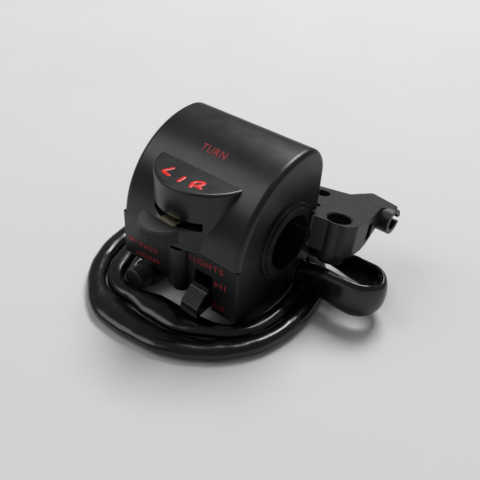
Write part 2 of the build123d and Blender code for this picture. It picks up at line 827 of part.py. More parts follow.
dimmer_contact_heights = (-dimmer_contact_pitch, 0, dimmer_contact_pitch)
dimmer_contact_length = dimmer_board_y - dimmer_pivot_y - dimmer_hub_radius - dimmer_contact_gap

with BuildPart() as dimmer_base:
    block(dimmer_x - dimmer_board_half, dimmer_x + dimmer_board_half, dimmer_board_y,
          dimmer_board_y + board_thickness, dimmer_pivot_z - dimmer_board_above,
          dimmer_pivot_z + dimmer_board_above)
    for post_x in post_xs:
        rod(along_y(post_x, dimmer_pivot_z, dimmer_board_y), small_screw_radius + seat_fit,
            board_thickness, Mode.SUBTRACT)
    for height in dimmer_contact_heights:
        rod(along_y(dimmer_x, dimmer_pivot_z + height, dimmer_board_y), contact_stem_radius + seat_fit,
            board_thickness, Mode.SUBTRACT)
save(dimmer_base, "dimmer_base")

with BuildPart() as dimmer_contacts:
    for height in dimmer_contact_heights:
        rod(along_y(dimmer_x, dimmer_pivot_z + height, dimmer_board_y - dimmer_contact_length),
            dimmer_contact_radius, dimmer_contact_length)
        rod(along_y(dimmer_x, dimmer_pivot_z + height, dimmer_board_y), contact_stem_radius,
            board_thickness + contact_tail)
save(dimmer_contacts, "dimmer_contacts")

with BuildPart() as dimmer_wiper:
    with BuildSketch(on_dimmer_axis(dimmer_x - dimmer_contact_radius)):
        Circle(dimmer_hub_radius + wiper_thickness)
        Circle(dimmer_hub_radius, mode=Mode.SUBTRACT)
        with Locations((-dimmer_hub_radius, 0)):
            Rectangle(3 * dimmer_hub_radius, 4 * dimmer_hub_radius, mode=Mode.SUBTRACT)
    extrude(amount=2 * dimmer_contact_radius)
save(dimmer_wiper, "dimmer_wiper")

with BuildPart() as dimmer_base_screws:
    for post_x in post_xs:
        plane = Plane(origin=(post_x, dimmer_board_y + board_thickness, dimmer_pivot_z), x_dir=(1, 0, 0),
                      z_dir=(0, -1, 0))
        add_screw(plane, small_screw_radius, board_thickness + small_screw_reach - part_gap,
                  small_head_radius, small_head_height, small_screw_radius / 2)
save(dimmer_base_screws, "dimmer_base_screws")


# Horn button

with BuildPart() as horn_button:
    rod(along_y(horn_x, horn_z, -horn_face), horn_radius, horn_face - horn_head_back)
    fillet(horn_button.edges().group_by(Axis.Y)[0], radius=horn_edge)
    rod(along_y(horn_x, horn_z, -horn_head_back), horn_stem_radius, horn_head_back + horn_stem_end)
save(horn_button, "horn_button")

with BuildPart() as horn_spring:
    add_coil_spring(along_y(horn_x, horn_z, touch_gap / 2 - horn_head_back),
                    horn_head_back - recess_front - touch_gap, horn_spring_radius, horn_wire,
                    horn_spring_turns)
save(horn_spring, "horn_spring")

with BuildPart() as horn_clip:
    with BuildSketch(along_y(horn_x, horn_z, horn_rest - clip_thickness)):
        Circle(clip_radius)
        Circle(horn_stem_radius + seat_fit, mode=Mode.SUBTRACT)
        with Locations((0, clip_radius)):
            Rectangle(horn_stem_radius, 2 * (clip_radius - horn_stem_radius), mode=Mode.SUBTRACT)
    extrude(amount=clip_thickness)
save(horn_clip, "horn_clip")

with BuildPart() as horn_contact_plate:
    block(horn_x - plate_half_width, horn_x + plate_half_width + plate_ear, horn_plate_face, horn_plate_back,
          inner_floor, inner_floor + plate_height)
    rod(along_y(horn_screw_x, horn_z, horn_plate_face), small_screw_radius + seat_fit, plate_thickness,
        Mode.SUBTRACT)
save(horn_contact_plate, "horn_contact_plate")


# Passing button, on the side away from the rider

pass_flange_front = pass_guide_back - touch_gap
pass_flange_back = pass_flange_front - pass_flange_thickness

with BuildPart() as pass_button:
    rod(along_y(pass_x, pass_z, pass_flange_back), pass_flange_radius, pass_flange_thickness)
    rod(along_y(pass_x, pass_z, pass_flange_front), pass_radius, pass_face - pass_flange_front)
    fillet(pass_button.edges().group_by(Axis.Y)[-1], radius=horn_edge)
    rod(along_y(pass_x, pass_z, pass_plate_face + pass_travel + touch_gap), pass_stem_radius,
        pass_flange_back - pass_plate_face - pass_travel - touch_gap)
save(pass_button, "pass_button")

with BuildPart() as pass_spring:
    add_coil_spring(along_y(pass_x, pass_z, pass_plate_face + touch_gap / 2),
                    pass_flange_back - pass_plate_face - touch_gap, pass_spring_radius, pass_wire,
                    pass_spring_turns)
save(pass_spring, "pass_spring")

with BuildPart() as pass_contact_plate:
    block(pass_x - pass_plate_half - plate_ear, pass_x + pass_plate_half, pass_rib_face, pass_plate_face,
          pass_z - pass_plate_half, pass_z + pass_plate_half)
    rod(along_y(pass_screw_x, pass_z, pass_rib_face), small_screw_radius + seat_fit, plate_thickness,
        Mode.SUBTRACT)
save(pass_contact_plate, "pass_contact_plate")

with BuildPart() as contact_screws:
    add_screw(Plane(origin=(horn_screw_x, horn_plate_face, horn_z), x_dir=(1, 0, 0), z_dir=(0, 1, 0)),
              small_screw_radius, plate_thickness + rib_thickness - part_gap, small_head_radius,
              small_head_height, small_screw_radius / 2)
    add_screw(Plane(origin=(pass_screw_x, pass_plate_face, pass_z), x_dir=(1, 0, 0), z_dir=(0, -1, 0)),
              small_screw_radius, plate_thickness + rib_thickness - part_gap, small_head_radius,
              small_head_height, small_screw_radius / 2)
save(contact_screws, "contact_screws")


# Lever bracket, drawn on the plane of its top face, which falls away from the rider

bracket_top = Plane(origin=(mirror_x, mirror_y, mirror_z), x_dir=(1, 0, 0),
                    z_dir=(0, sin(radians(bracket_tilt)), cos(radians(bracket_tilt))))
fork_right = fork_right_share * bracket_reach
fork_front = fork_front_share * bracket_reach
fork_back = fork_back_share * bracket_reach
fork_back_right = fork_back_right_share * bracket_reach
fork_left = -bracket_reach


def tilted_block(x_low, x_high, y_low, y_high, z_low, z_high, mode):
    """A block in the tilted frame of the bracket's top face, inside the open builder."""
    with BuildSketch(bracket_top.offset(z_low)) as section:
        with Locations(((x_low + x_high) / 2, (y_low + y_high) / 2)):
            Rectangle(x_high - x_low, y_high - y_low)
    extrude(section.sketch, amount=z_high - z_low, mode=mode)


bracket_points = []
for x_share, y_share in bracket_outline_shares:
    bracket_points.append((x_share * bracket_reach, y_share * bracket_reach))
adjuster_axis = bracket_top.from_local_coords(
    Vector(adjuster_x_share * bracket_reach, adjuster_y_share * bracket_reach, -adjuster_boss_radius))
adjuster_plane = Plane(origin=adjuster_axis - Vector(adjuster_boss_length / 2, 0, 0),
                       x_dir=bracket_top.z_dir, z_dir=(1, 0, 0))
taper_plane = Plane(origin=bracket_top.from_local_coords(Vector(fork_back_right, 0, 0)),
                    x_dir=bracket_top.y_dir, z_dir=(1, 0, 0))
screw_head_plane_y = housing_back + flange_thickness

bracket_outline = FilletPolyline(*bracket_points, radius=bracket_corner_share * bracket_reach, close=True)

with BuildPart() as lever_bracket:
    with BuildSketch(bracket_top):
        make_face(bracket_outline.edges())
    extrude(amount=-bracket_height)
    with BuildSketch(taper_plane):
        with BuildLine():
            Polyline((taper_start_share * bracket_reach, -bracket_height),
                     (taper_end_share * bracket_reach, -arm_thickness),
                     (2 * bracket_reach, -arm_thickness), (2 * bracket_reach, -2 * bracket_height),
                     (taper_start_share * bracket_reach, -2 * bracket_height), close=True)
        make_face()
    extrude(amount=bracket_reach, mode=Mode.SUBTRACT)
    with BuildSketch(adjuster_plane):
        Circle(adjuster_boss_radius)
    extrude(amount=adjuster_boss_length)
    with BuildSketch(bracket_top):
        Circle(mirror_boss_radius)
    extrude(amount=-mirror_boss_length)
    block(-bracket_reach, half_width + end_clearance, 0, housing_back, -floor_depth, housing_top,
          Mode.SUBTRACT)
    block(flange_left, flange_step_x, housing_back, screw_head_plane_y, flange_bottom, flange_top)
    block(flange_step_x, half_width + end_clearance, housing_back, screw_head_plane_y, flange_bottom,
          bracket_screw_z - fork_lug / 2)
    fillet(lever_bracket.edges().filter_by(Axis.Y).group_by(Axis.X)[0], radius=flange_corner)
    slot_low = -fork_lug - fork_gap
    tilted_block(fork_left, fork_right, fork_front, fork_back, slot_low, -fork_lug, Mode.SUBTRACT)
    tilted_block(fork_left, fork_back_right, fork_back, 2 * fork_back, slot_low, -fork_lug, Mode.SUBTRACT)
    tilted_block(0, bracket_reach, window_front_share * bracket_reach,
                 window_front_share * bracket_reach + window_width, slot_low, -fork_lug, Mode.SUBTRACT)
    rod(along_x(0, 0, half_width), bar_radius + saddle_clearance, bracket_reach, Mode.SUBTRACT)
    rod(along_x(0, 0, half_width), outer_lip_radius + end_clearance, inner_lip_proud + end_clearance,
        Mode.SUBTRACT)
    with BuildSketch(bracket_top):
        Circle(mirror_hole_radius)
    extrude(amount=-mirror_boss_length, mode=Mode.SUBTRACT)
    with BuildSketch(bracket_top.offset(-mirror_chamfer)):
        Circle(mirror_hole_radius)
    with BuildSketch(bracket_top):
        Circle(mirror_hole_radius + mirror_chamfer)
    loft(mode=Mode.SUBTRACT)
    with BuildSketch(bracket_top):
        with Locations((pivot_x_share * bracket_reach, pivot_y_share * bracket_reach)):
            Circle(pivot_hole_radius)
    extrude(amount=-bracket_height, mode=Mode.SUBTRACT)
    with BuildSketch(adjuster_plane):
        Circle(adjuster_radius)
        with Locations((0, -adjuster_boss_radius)):
            Rectangle(adjuster_slit, 2 * adjuster_boss_radius)
    extrude(amount=adjuster_boss_length, mode=Mode.SUBTRACT)
    for screw_x in bracket_screw_xs:
        rod(along_y(screw_x, bracket_screw_z, housing_back), bracket_screw_radius + screw_clearance,
            flange_thickness, Mode.SUBTRACT)
        with BuildSketch(along_y(screw_x, bracket_screw_z, screw_head_plane_y)):
            Circle(bracket_screw_head_radius + screw_clearance)
        with BuildSketch(along_y(screw_x, bracket_screw_z, screw_head_plane_y - bracket_screw_head_height)):
            Circle(bracket_screw_radius + screw_clearance)
        loft(mode=Mode.SUBTRACT)
save(lever_bracket, "lever_bracket")

with BuildPart() as bracket_screws:
    for screw_x in bracket_screw_xs:
        rod(along_y(screw_x, bracket_screw_z, housing_back - bracket_screw_reach), bracket_screw_radius,
            bracket_screw_reach + flange_thickness - bracket_screw_head_height)
        with BuildSketch(along_y(screw_x, bracket_screw_z, screw_head_plane_y - bracket_screw_head_height)):
            Circle(bracket_screw_radius)
        with BuildSketch(along_y(screw_x, bracket_screw_z, screw_head_plane_y)):
            Circle(bracket_screw_head_radius)
        loft()
save(bracket_screws, "bracket_screws")


# Loom: gland, loop, coil and tail

gland_end = half_width + gland_flange_thickness + gland_nose
coil_entry = Vector(coil_entry_x, coil_centre_y + coil_start_radius, coil_z + coil_entry_height)
coil_entry_way = Vector(-cos(radians(coil_entry_slope)), 0, -sin(radians(coil_entry_slope)))
lead_end = coil_entry - coil_entry_way * 2 * loom_radius

with BuildPart() as loom_gland:
    rod(along_x(gland_y, gland_z, half_width - wall - gland_flange_thickness), gland_inner_radius,
        gland_flange_thickness)
    rod(along_x(gland_y, gland_z, half_width - wall), gland_neck_radius, wall)
    rod(along_x(gland_y, gland_z, half_width), gland_flange_radius, gland_flange_thickness)
    rod(along_x(gland_y, gland_z, half_width + gland_flange_thickness), gland_nose_radius, gland_nose)
save(loom_gland, "loom_gland")


def route_radii(points):
    """Radius at each corner of a route: as large as the two runs beside it allow."""
    radii = []
    for before, corner, after in zip(points, points[1:], points[2:]):
        run_in = corner - before
        run_out = after - corner
        half_turn = radians(run_in.get_angle(run_out)) / 2
        radii.append(arc_share * min(run_in.length, run_out.length) / tan(half_turn))
    return radii


lead_points = [Vector(gland_end, gland_y, gland_z)]
for place in lead_middle:
    lead_points.append(Vector(*place))
lead_level = lead_points[-1].Z
lead_points.append(lead_end - coil_entry_way * ((lead_level - lead_end.Z) / sin(radians(coil_entry_slope))))
lead_points.append(lead_end)
lead_radii = route_radii(lead_points)
print("lead radii", [round(radius, 1) for radius in lead_radii])

with BuildPart() as loom_lead:
    with BuildLine() as lead_path:
        FilletPolyline(*lead_points, radius=lead_radii)
    with BuildSketch(Plane(origin=lead_path.line @ 0, z_dir=lead_path.line % 0)):
        Circle(loom_radius)
    sweep(path=lead_path.line)
save(loom_lead, "loom_lead")

coil_sides = ((0, 1), (-1, 0), (0, -1), (1, 0))
coil_points = [coil_entry]
coil_ways = [coil_entry_way]
for quarter in range(1, 4 * coil_turns + 1):
    reach = coil_start_radius + coil_pitch * quarter / 4
    side_x, side_y = coil_sides[quarter % 4]
    coil_points.append(Vector(coil_centre_x + side_x * reach, coil_centre_y + side_y * reach, coil_z))
    coil_ways.append(Vector(-side_y, side_x, 0))
tail_start = coil_points[-1] - Vector(2 * loom_radius, 0, 0)

with BuildPart() as loom_coil:
    with BuildLine() as coil_path:
        Line(lead_end, coil_points[0])
        for quarter in range(4 * coil_turns):
            add_biarc(coil_points[quarter], coil_ways[quarter], coil_points[quarter + 1],
                      coil_ways[quarter + 1])
        Line(coil_points[-1], tail_start)
    with BuildSketch(Plane(origin=lead_end, z_dir=coil_entry_way)):
        Circle(loom_radius)
    sweep(path=coil_path.line)
save(loom_coil, "loom_coil")

lead_length = lead_path.wire().length
coil_wire = coil_path.wire()
samples = gap_samples_per_turn * coil_turns
coil_samples = [coil_wire @ (index / samples) for index in range(samples + 1)]
least_gap = coil_wire.length
for first in range(samples):
    for second in range(first + gap_samples_per_turn // 2, samples + 1):
        least_gap = min(least_gap, (coil_samples[first] - coil_samples[second]).length - 2 * loom_radius)
section_area = pi * loom_radius ** 2
print("least gap of the coil to itself", round(least_gap, 2))
print("sheath length", round(lead_length + coil_wire.length, 1))
print("lead volume", round(loom_lead.part.volume), "of", round(lead_length * section_area))
print("coil volume", round(loom_coil.part.volume), "of", round(coil_wire.length * section_area))

with BuildPart() as loom_sleeve:
    rod(Plane(origin=tail_start, z_dir=(-1, 0, 0)), sleeve_radius, sleeve_length)
save(loom_sleeve, "loom_sleeve")

wires_start = tail_start - Vector(sleeve_length, 0, 0)
plug_start_x = wires_start.X - loom_wire_length

with BuildPart() as loom_wires:
    with BuildSketch(Plane(origin=wires_start, z_dir=(-1, 0, 0))):
        Circle(loom_wire_radius)
        with PolarLocations(loom_wire_circle, loom_wire_count):
            Circle(loom_wire_radius)
    extrude(amount=loom_wire_length)
save(loom_wires, "loom_wires")

cell_width = (plug_width - (plug_columns + 1) * plug_wall) / plug_columns
cell_height = (plug_height - (plug_rows + 1) * plug_wall) / plug_rows
plug_middle = Plane(origin=(plug_start_x, wires_start.Y, plug_height / 2 - floor_depth), x_dir=(0, 1, 0),
                    z_dir=(-1, 0, 0))

with BuildPart() as loom_plug:
    with BuildSketch(plug_middle):
        RectangleRounded(plug_width, plug_height, plug_corner)
    extrude(amount=plug_length)
    with BuildSketch(plug_middle.offset(plug_length - plug_socket_depth)):
        with GridLocations(cell_width + plug_wall, cell_height + plug_wall, plug_columns, plug_rows):
            Rectangle(cell_width, cell_height)
    extrude(amount=plug_socket_depth, mode=Mode.SUBTRACT)
    block(plug_start_x - plug_length, plug_start_x - plug_length + plug_latch_length,
          wires_start.Y - plug_latch_width / 2, wires_start.Y + plug_latch_width / 2,
          plug_height - floor_depth, plug_height + plug_latch_height - floor_depth)
save(loom_plug, "loom_plug")
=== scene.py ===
import json
from math import atan2, copysign, cos, pi, radians, sin

import bmesh
import bpy
from mathutils import Matrix, Vector, noise
from mathutils.bvhtree import BVHTree

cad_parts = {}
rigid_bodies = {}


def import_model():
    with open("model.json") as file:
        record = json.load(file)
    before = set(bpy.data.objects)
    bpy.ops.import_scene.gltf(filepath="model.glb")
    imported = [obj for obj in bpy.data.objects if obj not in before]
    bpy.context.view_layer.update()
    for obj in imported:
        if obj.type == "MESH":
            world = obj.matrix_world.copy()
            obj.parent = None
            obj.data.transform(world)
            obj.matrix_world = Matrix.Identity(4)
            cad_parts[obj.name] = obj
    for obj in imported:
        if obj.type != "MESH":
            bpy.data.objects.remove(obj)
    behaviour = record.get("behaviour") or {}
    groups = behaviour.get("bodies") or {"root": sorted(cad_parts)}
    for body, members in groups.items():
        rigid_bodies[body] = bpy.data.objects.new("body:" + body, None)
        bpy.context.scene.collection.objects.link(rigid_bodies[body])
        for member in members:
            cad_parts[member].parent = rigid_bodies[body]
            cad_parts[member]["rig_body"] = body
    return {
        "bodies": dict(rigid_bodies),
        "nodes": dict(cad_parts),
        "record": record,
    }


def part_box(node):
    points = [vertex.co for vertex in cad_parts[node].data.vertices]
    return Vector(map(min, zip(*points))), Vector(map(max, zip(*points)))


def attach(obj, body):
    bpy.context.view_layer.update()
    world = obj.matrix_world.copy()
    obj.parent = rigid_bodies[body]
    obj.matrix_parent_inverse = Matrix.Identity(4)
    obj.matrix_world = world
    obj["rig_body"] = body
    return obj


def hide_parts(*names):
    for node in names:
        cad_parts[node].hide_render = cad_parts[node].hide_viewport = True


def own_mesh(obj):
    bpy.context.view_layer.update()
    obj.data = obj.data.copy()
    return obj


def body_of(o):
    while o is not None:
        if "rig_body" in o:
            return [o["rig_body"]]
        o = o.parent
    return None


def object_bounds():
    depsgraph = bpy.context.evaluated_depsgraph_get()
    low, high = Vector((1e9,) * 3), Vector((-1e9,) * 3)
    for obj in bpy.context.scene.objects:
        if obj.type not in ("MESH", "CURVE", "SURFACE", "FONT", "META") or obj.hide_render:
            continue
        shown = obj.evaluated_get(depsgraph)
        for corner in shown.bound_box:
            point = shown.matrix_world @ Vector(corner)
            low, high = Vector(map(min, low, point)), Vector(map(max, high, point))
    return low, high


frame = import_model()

for startup_object in [thing for thing in bpy.data.objects if not body_of(thing)
                       and thing not in frame["bodies"].values()]:
    bpy.data.objects.remove(startup_object)
cad_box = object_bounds()

bl_info = {
    "name": "Handlebar Switch Cluster",
    "version": (1, 0, 0),
    "blender": (4, 5, 0),
    "location": "View3D > Sidebar > Switch",
    "description": "Dresses the packed switch cluster: enamel, plastics, legends, threads and wiring loom",
    "category": "Object",
}

MM = 0.001


def linear(hex_colour):
    """An sRGB hex value as the linear red, green and blue that Blender's sockets take."""
    channels = [int(hex_colour[place:place + 2], 16) / 255 for place in (1, 3, 5)]
    return [c / 12.92 if c <= 0.04045 else ((c + 0.055) / 1.055) ** 2.4 for c in channels]


def opaque(colour):
    """A colour with full alpha, as a colour socket takes it."""
    return (*colour, 1.0)


def colour_setting(name, hex_colour, description):
    """A colour that a user would change."""
    return bpy.props.FloatVectorProperty(name=name, description=description, subtype="COLOR", size=3,
                                         min=0.0, max=1.0, default=linear(hex_colour))


def number_setting(name, default, description, low=0.0, **kind):
    """A number that a user would change, with its unit if it has one."""
    return bpy.props.FloatProperty(name=name, description=description, default=default, min=low, **kind)


def length_setting(name, millimetres, description):
    """A length that a user would change."""
    return number_setting(name, millimetres * MM, description, unit="LENGTH", precision=5)


class StageSettings(bpy.types.PropertyGroup):
    """Floor, light and camera."""
    floor_colour: colour_setting("Floor", "#D9D9D8", "Matt paper that the cluster lies on")
    floor_size: length_setting("Floor size", 4000, "Side of the square floor")
    world_strength: number_setting("Room light", 0.22, "Even light from all round")
    key_power: number_setting("Key light", 22.0, "Power of the soft lamp behind and above", unit="POWER")
    key_size: length_setting("Lamp size", 720, "Side of each of the two soft lamps")
    fill_power: number_setting("Fill light", 3.6, "Power of the lamp on the left", unit="POWER")
    lens: number_setting("Lens", 46.2, "Focal length on a 36 mm sensor", low=1.0, unit="CAMERA")


class FinishSettings(bpy.types.PropertyGroup):
    """Colours of the finishes, and the width of the castings' joint."""
    enamel: colour_setting("Casing enamel", "#111214", "Satin black enamel on the die-cast casing")
    # The joint's dark band is painted shade of the seam between the two castings
    parting_width: length_setting("Parting line", 0.28, "Width of the dark joint between the two castings")
    # The colour of the enamel's rubbed edges also stands in for a painted highlight along them
    enamel_worn_and_lit: colour_setting("Worn enamel", "#3A3B3E", "The enamel where hands have rubbed an edge")
    bracket: colour_setting("Bracket paint", "#202021", "Satin paint on the cast lever bracket")
    knob: colour_setting("Knob plastic", "#232324", "Moulded nylon of the turn knob")
    gloss: colour_setting("Lever plastic", "#0B0B0C", "Glossy ABS of the dimmer lever")
    button: colour_setting("Button plastic", "#232325", "Moulded ABS of the horn and passing buttons")
    rotor: colour_setting("Rotor plastic", "#C9C0A6", "Natural acetal of the turn switch's rotor")
    board: colour_setting("Board", "#6A4326", "Paper phenolic of the contact boards")
    strip: colour_setting("Lever strip", "#D8D3AE", "Passivated strip that carries the turn knob")
    copper: colour_setting("Contacts", "#C98A5A", "Phosphor bronze of contacts and wipers")
    zinc: colour_setting("Zinc plate", "#B9BBB6", "Zinc plate on the small screws and the frame")
    black_steel: colour_setting("Blackened steel", "#26272A", "Oxide-black steel of the larger screws")
    spring: colour_setting("Spring steel", "#8D9093", "Drawn spring wire")
    sheath: colour_setting("Loom sheath", "#08080A", "Soft PVC tube round the wires")
    rubber: colour_setting("Gland rubber", "#131314", "Rubber gland in the casing's end")
    sleeve: colour_setting("Sleeve", "#1A1A1C", "Shrunk end sleeve of the loom")
    nylon: colour_setting("Plug nylon", "#D9D5C8", "Natural nylon of the plug")
    legend: colour_setting("Legend paint", "#8C1B1F", "Dull red paint of the printed legends")
    bright_legend: colour_setting("Hood paint", "#E5261C", "Bright red paint brushed on the hood")


class LoomSettings(bpy.types.PropertyGroup):
    """The wiring loom: its sheath, wires and plug."""
    declared_diameter: length_setting("Declared diameter", 9.5, "Width of the flattened sheath")
    ring_step: length_setting("Ring step", 1.1, "Distance between the sheath's modelled rings")
    ring_sides: bpy.props.IntProperty(name="Ring sides", description="Sides of each ring of the sheath",
                                      default=28, min=8)
    dent_depth: length_setting("Dent depth", 0.42, "How deep the soft sheath is dented")
    dent_size: length_setting("Dent size", 11, "Size of the dents along the sheath")
    wire_radius: length_setting("Wire radius", 0.85, "Radius of each insulated wire")
    wire_circle: length_setting("Wire circle", 1.85, "Radius on which the outer wires lie")
    terminal_radius: length_setting("Terminal radius", 0.75, "Radius of each terminal in the plug")
    terminal_length: length_setting("Terminal length", 4.6, "How far a terminal stands in its socket")
    terminal_column_step: length_setting("Column step", 5.27, "Distance between the plug's socket columns")
    terminal_row_step: length_setting("Row step", 3.4, "Distance between the plug's socket rows")


class LegendSettings(bpy.types.PropertyGroup):
    """Printed and brushed legends."""
    film: length_setting("Paint film", 0.05, "How far the paint stands off the surface")
    stroke: length_setting("Stroke half width", 0.78, "Half the width of a brushed stroke")
    stroke_rise: number_setting("Stroke rise", 0.22, "Height of a stroke by its width", low=0.05, max=1.0)


class ThreadSettings(bpy.types.PropertyGroup):
    """Threads in the bracket's two tapped holes."""
    mirror_pitch: length_setting("Mirror pitch", 1.25, "Pitch of the mirror's thread")
    adjuster_pitch: length_setting("Adjuster pitch", 1.0, "Pitch of the cable adjuster's thread")
    ridge: length_setting("Ridge", 0.42, "Radius of a thread's ridge")
    adjuster_opening: number_setting("Slit angle", radians(44), "Arc left open by the slit", unit="ROTATION")


def settings(group):
    """The settings that this add-on keeps on the scene."""
    return getattr(bpy.context.scene, group)


# Shader nodes and finishes

MOTTLE_SPAN = (0.3, 0.7)            # the noise values between which colour and gloss drift
MOTTLE_TONES = (0.9, 1.12)          # a finish's darkest and lightest tone
MOTTLE_GRAINS = 12                  # the width of a mottled patch, in grains
WORN_AND_LIT_COSINE = 1.0 - 1.0 / 3.0     # cosine of the turn at which an edge is fully worn and painted lit


def add_node(tree, kind, values=None, links=None):
    """Adds a node: values go to its inputs or properties, and links join other sockets to its inputs.

    An input goes by its name, or by its number where two share a name.
    """
    node = tree.nodes.new(kind)
    for name, value in (values or {}).items():
        if isinstance(name, int) or name in node.inputs:
            node.inputs[name].default_value = value
        else:
            setattr(node, name, value)
    for name, source in (links or {}).items():
        tree.links.new(source, node.inputs[name])
    return node


def add_ramp(tree, factor, stops):
    """A colour ramp from (place, colour) pairs, driven by a factor."""
    ramp = add_node(tree, "ShaderNodeValToRGB", links={"Fac": factor})
    elements = ramp.color_ramp.elements
    for index, (place, colour) in enumerate(stops):
        element = elements[index] if index < len(elements) else elements.new(place)
        element.position = place
        element.color = opaque(colour)
    return ramp.outputs["Color"]


def greys(*stops):
    """Stops of a colour ramp from (place, brightness) pairs."""
    return [(place, (level, level, level)) for place, level in stops]


def shade(colour, factor):
    """A colour made darker or lighter."""
    return [min(1.0, channel * factor) for channel in colour]


def mottle(tree, factor, colour, tones):
    """A colour that drifts between a darker and a lighter tone of itself."""
    return add_ramp(tree, factor, [(end, shade(colour, tone)) for end, tone in zip(MOTTLE_SPAN, tones)])


def empty_tree(holder):
    """The node tree of a material or world, with nothing in it yet."""
    holder.use_nodes = True
    holder.node_tree.nodes.clear()
    return holder.node_tree


def new_finish(name, colour, roughness, spread, grain, bump, edge, worn_and_lit_edge=1.0, metallic=0.0, ior=1.5):
    """A finish: mottled colour, edges lighter for wear and a painted highlight, uneven gloss and a fine
    surface, on the piece's own place.

    Roughness varies by spread either way; grain, bump and the lighter edge's width are in millimetres;
    worn_and_lit_edge is how much lighter an edge is painted, for wear and a painted highlight, or its colour.
    """
    if isinstance(worn_and_lit_edge, float):
        worn_and_lit_edge = shade(colour, worn_and_lit_edge)
    material = bpy.data.materials.new(name)
    tree = empty_tree(material)
    place = add_node(tree, "ShaderNodeTexCoord").outputs["Object"]
    cloud = add_node(tree, "ShaderNodeTexNoise",
                     {"Scale": 1 / (MOTTLE_GRAINS * grain * MM), "Detail": 4.0, "Roughness": 0.6},
                     {"Vector": place}).outputs["Fac"]
    tooth = add_node(tree, "ShaderNodeTexNoise", {"Scale": 1 / (grain * MM), "Detail": 2.0},
                     {"Vector": place})
    rounded = add_node(tree, "ShaderNodeBevel", {"Radius": edge * MM}).outputs["Normal"]
    facing = add_node(tree, "ShaderNodeNewGeometry")
    turned = add_node(tree, "ShaderNodeVectorMath", {"operation": "DOT_PRODUCT"},
                      {0: rounded, 1: facing.outputs["Normal"]})
    worn_and_lit_mask = add_node(tree, "ShaderNodeMapRange", {"From Min": 1.0, "From Max": WORN_AND_LIT_COSINE},
                      {"Value": turned.outputs["Value"]})
    blend = add_node(tree, "ShaderNodeMixRGB", {"Color2": opaque(worn_and_lit_edge)},
                     {"Fac": worn_and_lit_mask.outputs["Result"], "Color1": mottle(tree, cloud, colour, MOTTLE_TONES)})
    gloss = add_node(tree, "ShaderNodeMapRange",
                     {"From Min": MOTTLE_SPAN[0], "From Max": MOTTLE_SPAN[1],
                      "To Min": roughness - spread, "To Max": roughness + spread}, {"Value": cloud})
    relief = add_node(tree, "ShaderNodeBump", {"Distance": bump * MM},
                      {"Height": tooth.outputs["Fac"], "Normal": rounded})
    surface = add_node(tree, "ShaderNodeBsdfPrincipled", {"Metallic": metallic, "IOR": ior},
                       {"Base Color": blend.outputs["Color"], "Roughness": gloss.outputs["Result"],
                        "Normal": relief.outputs["Normal"]})
    add_node(tree, "ShaderNodeOutputMaterial", links={"Surface": surface.outputs["BSDF"]})
    return material


def principled(material):
    """The shader of a finish, to add what its own kind needs."""
    return next(node for node in material.node_tree.nodes if node.type == "BSDF_PRINCIPLED")


def casing_enamel(finish):
    # Stoved satin enamel on die-cast zinc: an even satin sheen with faint orange peel; its edges painted
    # lighter, as rubbed wear and a painted highlight
    material = new_finish("stoved_satin_enamel", finish.enamel, roughness=0.33, spread=0.04, grain=0.7,
                          bump=0.006, edge=0.3, worn_and_lit_edge=finish.enamel_worn_and_lit)
    add_parting_shade_and_highlight(material, finish)
    return material


def add_parting_shade_and_highlight(material, finish):
    """Paints the castings' seam at Z = 0 dark, as painted shade in their joint, and above it a painted
    highlight on the rubbed edge.
    """
    tree = material.node_tree
    shader = principled(material)
    colour = shader.inputs["Base Color"]
    roughness = shader.inputs["Roughness"]
    place = next(node for node in tree.nodes if node.type == "TEX_COORD").outputs["Object"]
    height = add_node(tree, "ShaderNodeSeparateXYZ", links={"Vector": place}).outputs["Z"]
    # Both ramps run over five widths of the line, with the joint at 0.5
    reach = 2.5 * finish.parting_width
    across = add_node(tree, "ShaderNodeMapRange", {"From Min": -reach, "From Max": reach},
                      {"Value": height}).outputs["Result"]
    # Painted highlight: a bright band just above the joint, four times the worn enamel's colour
    worn_and_lit_mask = add_ramp(tree, across, greys((0.0, 0.0), (0.6, 0.0), (0.66, 0.8), (0.76, 0.0)))
    # Painted shade: a dark, matt band where the castings meet
    joint = add_ramp(tree, across, greys((0.36, 0.0), (0.42, 1.0), (0.58, 1.0), (0.64, 0.0)))
    lit = add_node(tree, "ShaderNodeMixRGB", {"Color2": opaque(shade(finish.enamel_worn_and_lit, 4.0))},
                   {"Fac": worn_and_lit_mask, "Color1": colour.links[0].from_socket})
    dark = add_node(tree, "ShaderNodeMixRGB", {"Color2": opaque(shade(finish.enamel, 0.1))},
                    {"Fac": joint, "Color1": lit.outputs["Color"]})
    dry = add_node(tree, "ShaderNodeMixRGB", {"Color2": opaque((1, 1, 1))},
                   {"Fac": joint, "Color1": roughness.links[0].from_socket})
    tree.links.new(dark.outputs["Color"], colour)
    tree.links.new(dry.outputs["Color"], roughness)


def bracket_enamel(finish):
    # Sprayed satin paint on a sand-finished casting: greyer and flatter, with a fine tooth; its edges painted
    # four times lighter, as worn paint and a painted highlight
    return new_finish("sprayed_satin_paint", finish.bracket, roughness=0.44, spread=0.05, grain=0.35,
                      bump=0.008, edge=0.5, worn_and_lit_edge=4.0)


def knob_nylon(finish):
    # Glass-filled nylon, spark-eroded mould: a dry, slightly mottled satin
    return new_finish("glass_filled_nylon", finish.knob, roughness=0.5, spread=0.06, grain=0.3, bump=0.01,
                      edge=0.18, worn_and_lit_edge=2.4)


def lever_abs(finish):
    # Polished-mould ABS: deep black with a hard, clear highlight
    return new_finish("polished_abs", finish.gloss, roughness=0.1, spread=0.03, grain=1.5, bump=0.002,
                      edge=0.2, worn_and_lit_edge=4.0)


